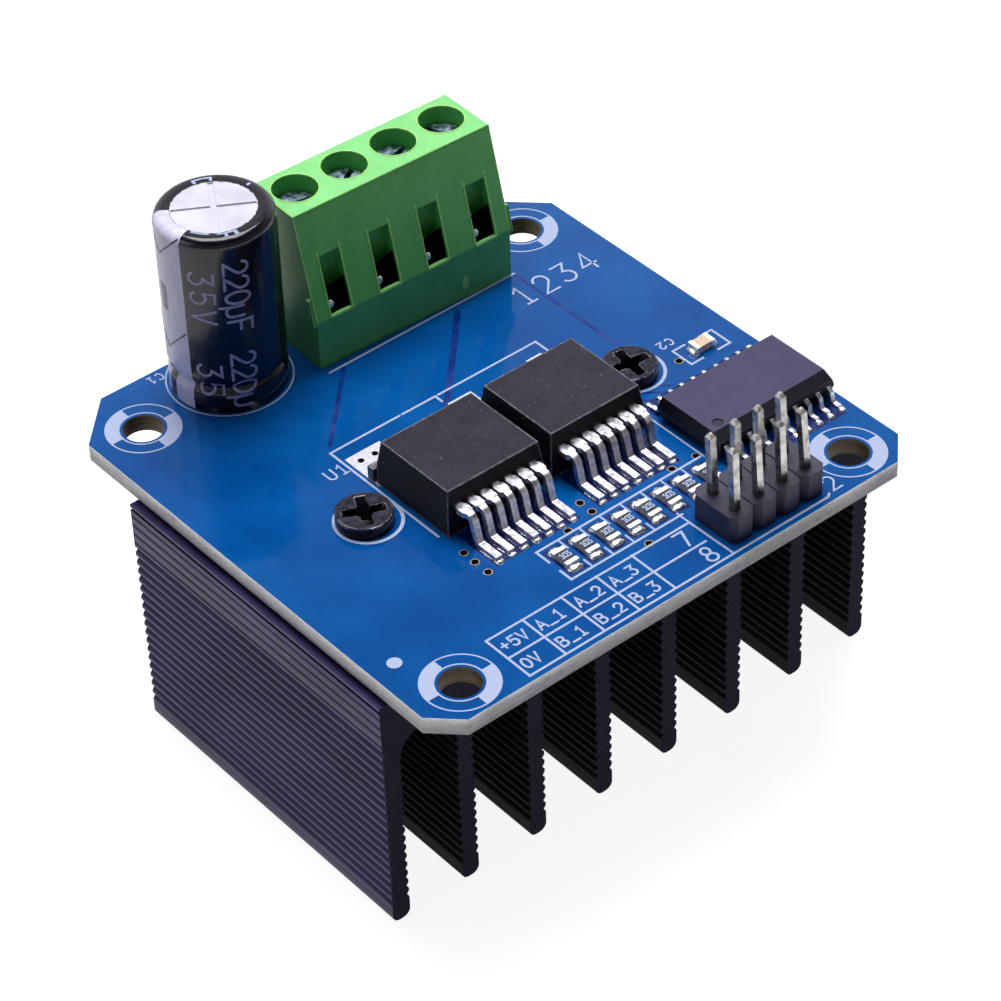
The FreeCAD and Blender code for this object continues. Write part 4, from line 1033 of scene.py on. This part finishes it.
# Painted highlight: pale green lines along the top front edge and the slope's edges stand for edges catching
# the light.
SIDES = 2 * POLE_PITCH
edge_lines = (
    ((-SIDES, BLOCK_SETBACK, BLOCK_HEIGHT), (SIDES, BLOCK_SETBACK, BLOCK_HEIGHT)),
    ((-SIDES, 0.0, BLOCK_STEP), (-SIDES, BLOCK_SETBACK, BLOCK_HEIGHT)),
    ((SIDES, 0.0, BLOCK_STEP), (SIDES, BLOCK_SETBACK, BLOCK_HEIGHT)),
    ((-SIDES, BLOCK_SETBACK, BLOCK_HEIGHT), (-SIDES, BLOCK_DEPTH, BLOCK_HEIGHT)))
for start, end in edge_lines:
    corners = [(0.05, 0.0), (0.0, -0.05), (-0.05, 0.0), (0.0, 0.05)]
    loops = []
    for x, y, z in (start, end):
        if start[0] == end[0]:
            loops.append([on_block(x + u, y + v * 0.7, z + v * 0.7) for u, v in corners])
        else:
            loops.append([on_block(x, y + u, z + v) for u, v in corners])
    flash_and_highlights.shape(loops)
gate = []
for y, grow in ((0.03, 1.0), (-0.05, 0.94), (-0.05, 0.8), (-0.01, 0.74)):
    gate.append([on_block(5.25 + 0.34 * grow * math.cos(k * math.pi / 12), y,
                          1.55 + 0.72 * grow * math.sin(k * math.pi / 12)) for k in range(24)])
flash_and_highlights.shape(gate)
seam = []
for sink in (0.03, -0.04):
    seam.append([on_block(x, lean(z) + sink, z) for x, z in
                 ((-0.07, 12.6), (-0.01, 12.6), (-0.02, 14.2), (-0.08, 14.2))])
flash_and_highlights.shape(seam)
# The slot flash, the gate and the mould line are moulding marks; the well rims and edge lines in the same
# pale green are painted highlights.
flash_and_highlight_green, shader = mottled("thin green moulding flash", 0.3, (150, 235, 112), (196, 250, 152), 0.35, 0.5)
flash_and_highlights.finish("terminal_flash", flash_and_highlight_green)
mouths.finish("terminal_wire_mouths", hole_shade)
tips.finish("terminal_contact_tips", lead_tin, smooth=True)

# Through-hole solder. The board's underside passed over a wave of molten solder, which filled
# each hole and left one smooth bright cone round each pin.
cone_tin = tinned("wave solder", (186, 188, 196), (236, 236, 240), 0.24, 0.5, 0.02)
for node in ("terminal_solder", "header_solder", "capacitor_solder"):
    dress(node, cone_tin)

# Board screws. Black oxide pan heads with cross recesses, driven into the heatsink's base.
# Handling has rubbed the lips of the recess and the head's edge bright; these pale edges also stand for
# glints, as painted highlights, and the recess carries painted shade.
HEAD_HEIGHT = 1.1
oxide, tree, shader, place = surface("black oxide steel")
streak = grain(tree, place, 0.5, detail=4.0)
soft = rounded(tree, 0.14)
patchy = spread(tree, grain(tree, place, 0.6, detail=4.0), 0.0, 1.0, 0.42, 0.6)
# The pale edges are partly rubbed metal and partly painted glints.
worn_and_glinting = math_node(tree, "MULTIPLY", edge_wear_and_highlight(tree, soft, 0.88), patchy)
black = shade(tree, streak, linear(26, 24, 38), linear(48, 46, 64))
tone = blend_colours(tree, worn_and_glinting, black, linear(216, 216, 228))
# Painted shade: the cross recess is darkened towards black with depth.
deep, shallow = BOARD_TOP + (HEAD_HEIGHT - 0.7) * MM, BOARD_TOP + (HEAD_HEIGHT - 0.08) * MM
recess_shade = spread(tree, axis(tree, place, "Z"), 0.9, 0.0, deep, shallow)
tree.links.new(blend_colours(tree, recess_shade, tone, linear(5, 5, 9)), shader.inputs["Base Color"])
shader.inputs["Metallic"].default_value = 0.7
tree.links.new(spread(tree, streak, 0.26, 0.38), shader.inputs["Roughness"])
relief(tree, shader, streak, 0.012, soft)
for number in (1, 2):
    dress("board_screw_%d" % number, oxide)

# Studio. A pale table and a white background, one broad soft lamp overhead towards the back
# right, and little light from the front, so the faces towards the camera stay dark.
HALF = 1.6
table_mesh = bpy.data.meshes.new("table")
corners = [(-HALF, -HALF, 0), (HALF, -HALF, 0), (HALF, HALF, 0), (-HALF, HALF, 0)]
table_mesh.from_pydata(corners, [], [(0, 1, 2, 3)])
table = bpy.data.objects.new("table", table_mesh)
table.location.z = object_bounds()[0].z - 0.02 * MM
bpy.context.collection.objects.link(table)
paper, tree, shader, place = surface("pale table paper")
fibre = grain(tree, place, 2.0)
tree.links.new(shade(tree, fibre, linear(150, 150, 154), linear(156, 156, 158)), shader.inputs["Base Color"])
shader.inputs["Roughness"].default_value = 0.9
shader.inputs["Specular IOR Level"].default_value = 0.0
table_mesh.materials.append(paper)
output = tree.nodes["Material Output"]
path = tree.nodes.new("ShaderNodeLightPath")
seen = math_node(tree, "MAXIMUM", path.outputs["Is Camera Ray"], path.outputs["Is Transmission Ray"])
glow = tree.nodes.new("ShaderNodeEmission")
seen = math_node(tree, "MAXIMUM", seen, path.outputs["Is Glossy Ray"])
tree.links.new(math_node(tree, "MULTIPLY", seen, 0.9), glow.inputs["Strength"])
both = tree.nodes.new("ShaderNodeAddShader")
tree.links.new(shader.outputs["BSDF"], both.inputs[0])
tree.links.new(glow.outputs["Emission"], both.inputs[1])
tree.links.new(both.outputs["Shader"], output.inputs["Surface"])

FILL = 0.09
world = bpy.data.worlds.new("studio")
bpy.context.scene.world = world
world.use_nodes = True
tree = world.node_tree
background = tree.nodes["Background"]
background.inputs["Color"].default_value = (1, 1, 1, 1)
path = tree.nodes.new("ShaderNodeLightPath")
sky = tree.nodes.new("ShaderNodeTexCoord").outputs["Generated"]
height = axis(tree, sky, "Z")
depth = axis(tree, sky, "Y")
wall = spread(tree, height, 1.0, 0.1, 0.53, 0.67)
wall = math_node(tree, "MULTIPLY", wall, spread(tree, depth, 0.25, 1.0, -0.2, 0.2))
seen = math_node(tree, "MAXIMUM", path.outputs["Is Camera Ray"], path.outputs["Is Transmission Ray"])
fill = math_node(tree, "MULTIPLY_ADD", seen, 1.0 - FILL, FILL)
mirror = math_node(tree, "MULTIPLY", path.outputs["Is Glossy Ray"], math_node(tree, "SUBTRACT", wall, FILL))
tree.links.new(math_node(tree, "ADD", fill, mirror), background.inputs["Strength"])


def soft_lamp(name, place, size, power):
    """A rectangular lamp box that faces the module."""
    lamp = bpy.data.lights.new(name, "AREA")
    lamp.shape = "RECTANGLE"
    lamp.size, lamp.size_y = size
    lamp.energy = power
    holder = bpy.data.objects.new(name, lamp)
    holder.location = place
    holder.rotation_euler = (Vector(LAMP_AIM) - Vector(place)).to_track_quat("-Z", "Y").to_euler()
    bpy.context.collection.objects.link(holder)


LAMP_AIM = (0, 0, 0.02)
soft_lamp("overhead lamp", (0.17, 0.24, 0.86), (0.55, 0.55), 9.0)
soft_lamp("left lamp", (-0.62, 0.12, 0.46), (0.4, 0.3), 0.4)

# Camera. It stands where the photograph was taken from, off the board's front left corner and
# well above it, with a long lens, so the module shows little perspective.
AZIMUTH, ELEVATION, ROLL = map(math.radians, (-38.681, 40.392, -2.167))
flat = math.cos(ELEVATION)
back = Vector((math.sin(AZIMUTH) * flat, -math.cos(AZIMUTH) * flat, math.sin(ELEVATION)))
right = Vector((0, 0, 1)).cross(back).normalized()
up = back.cross(right)
camera_x = right * math.cos(ROLL) + up * math.sin(ROLL)
camera_y = up * math.cos(ROLL) - right * math.sin(ROLL)
lens = bpy.data.cameras.new("camera")
lens.lens = 134.13
lens.sensor_width = 36.0
lens.clip_start = 0.01
camera = bpy.data.objects.new("camera", lens)
turn = Matrix((camera_x, camera_y, back)).transposed().to_4x4()
camera.matrix_world = Matrix.Translation(Vector((-146.95, -184.75, 219.06)) * MM) @ turn
bpy.context.collection.objects.link(camera)
bpy.context.scene.camera = camera
bpy.context.scene.view_settings.view_transform = "Standard"
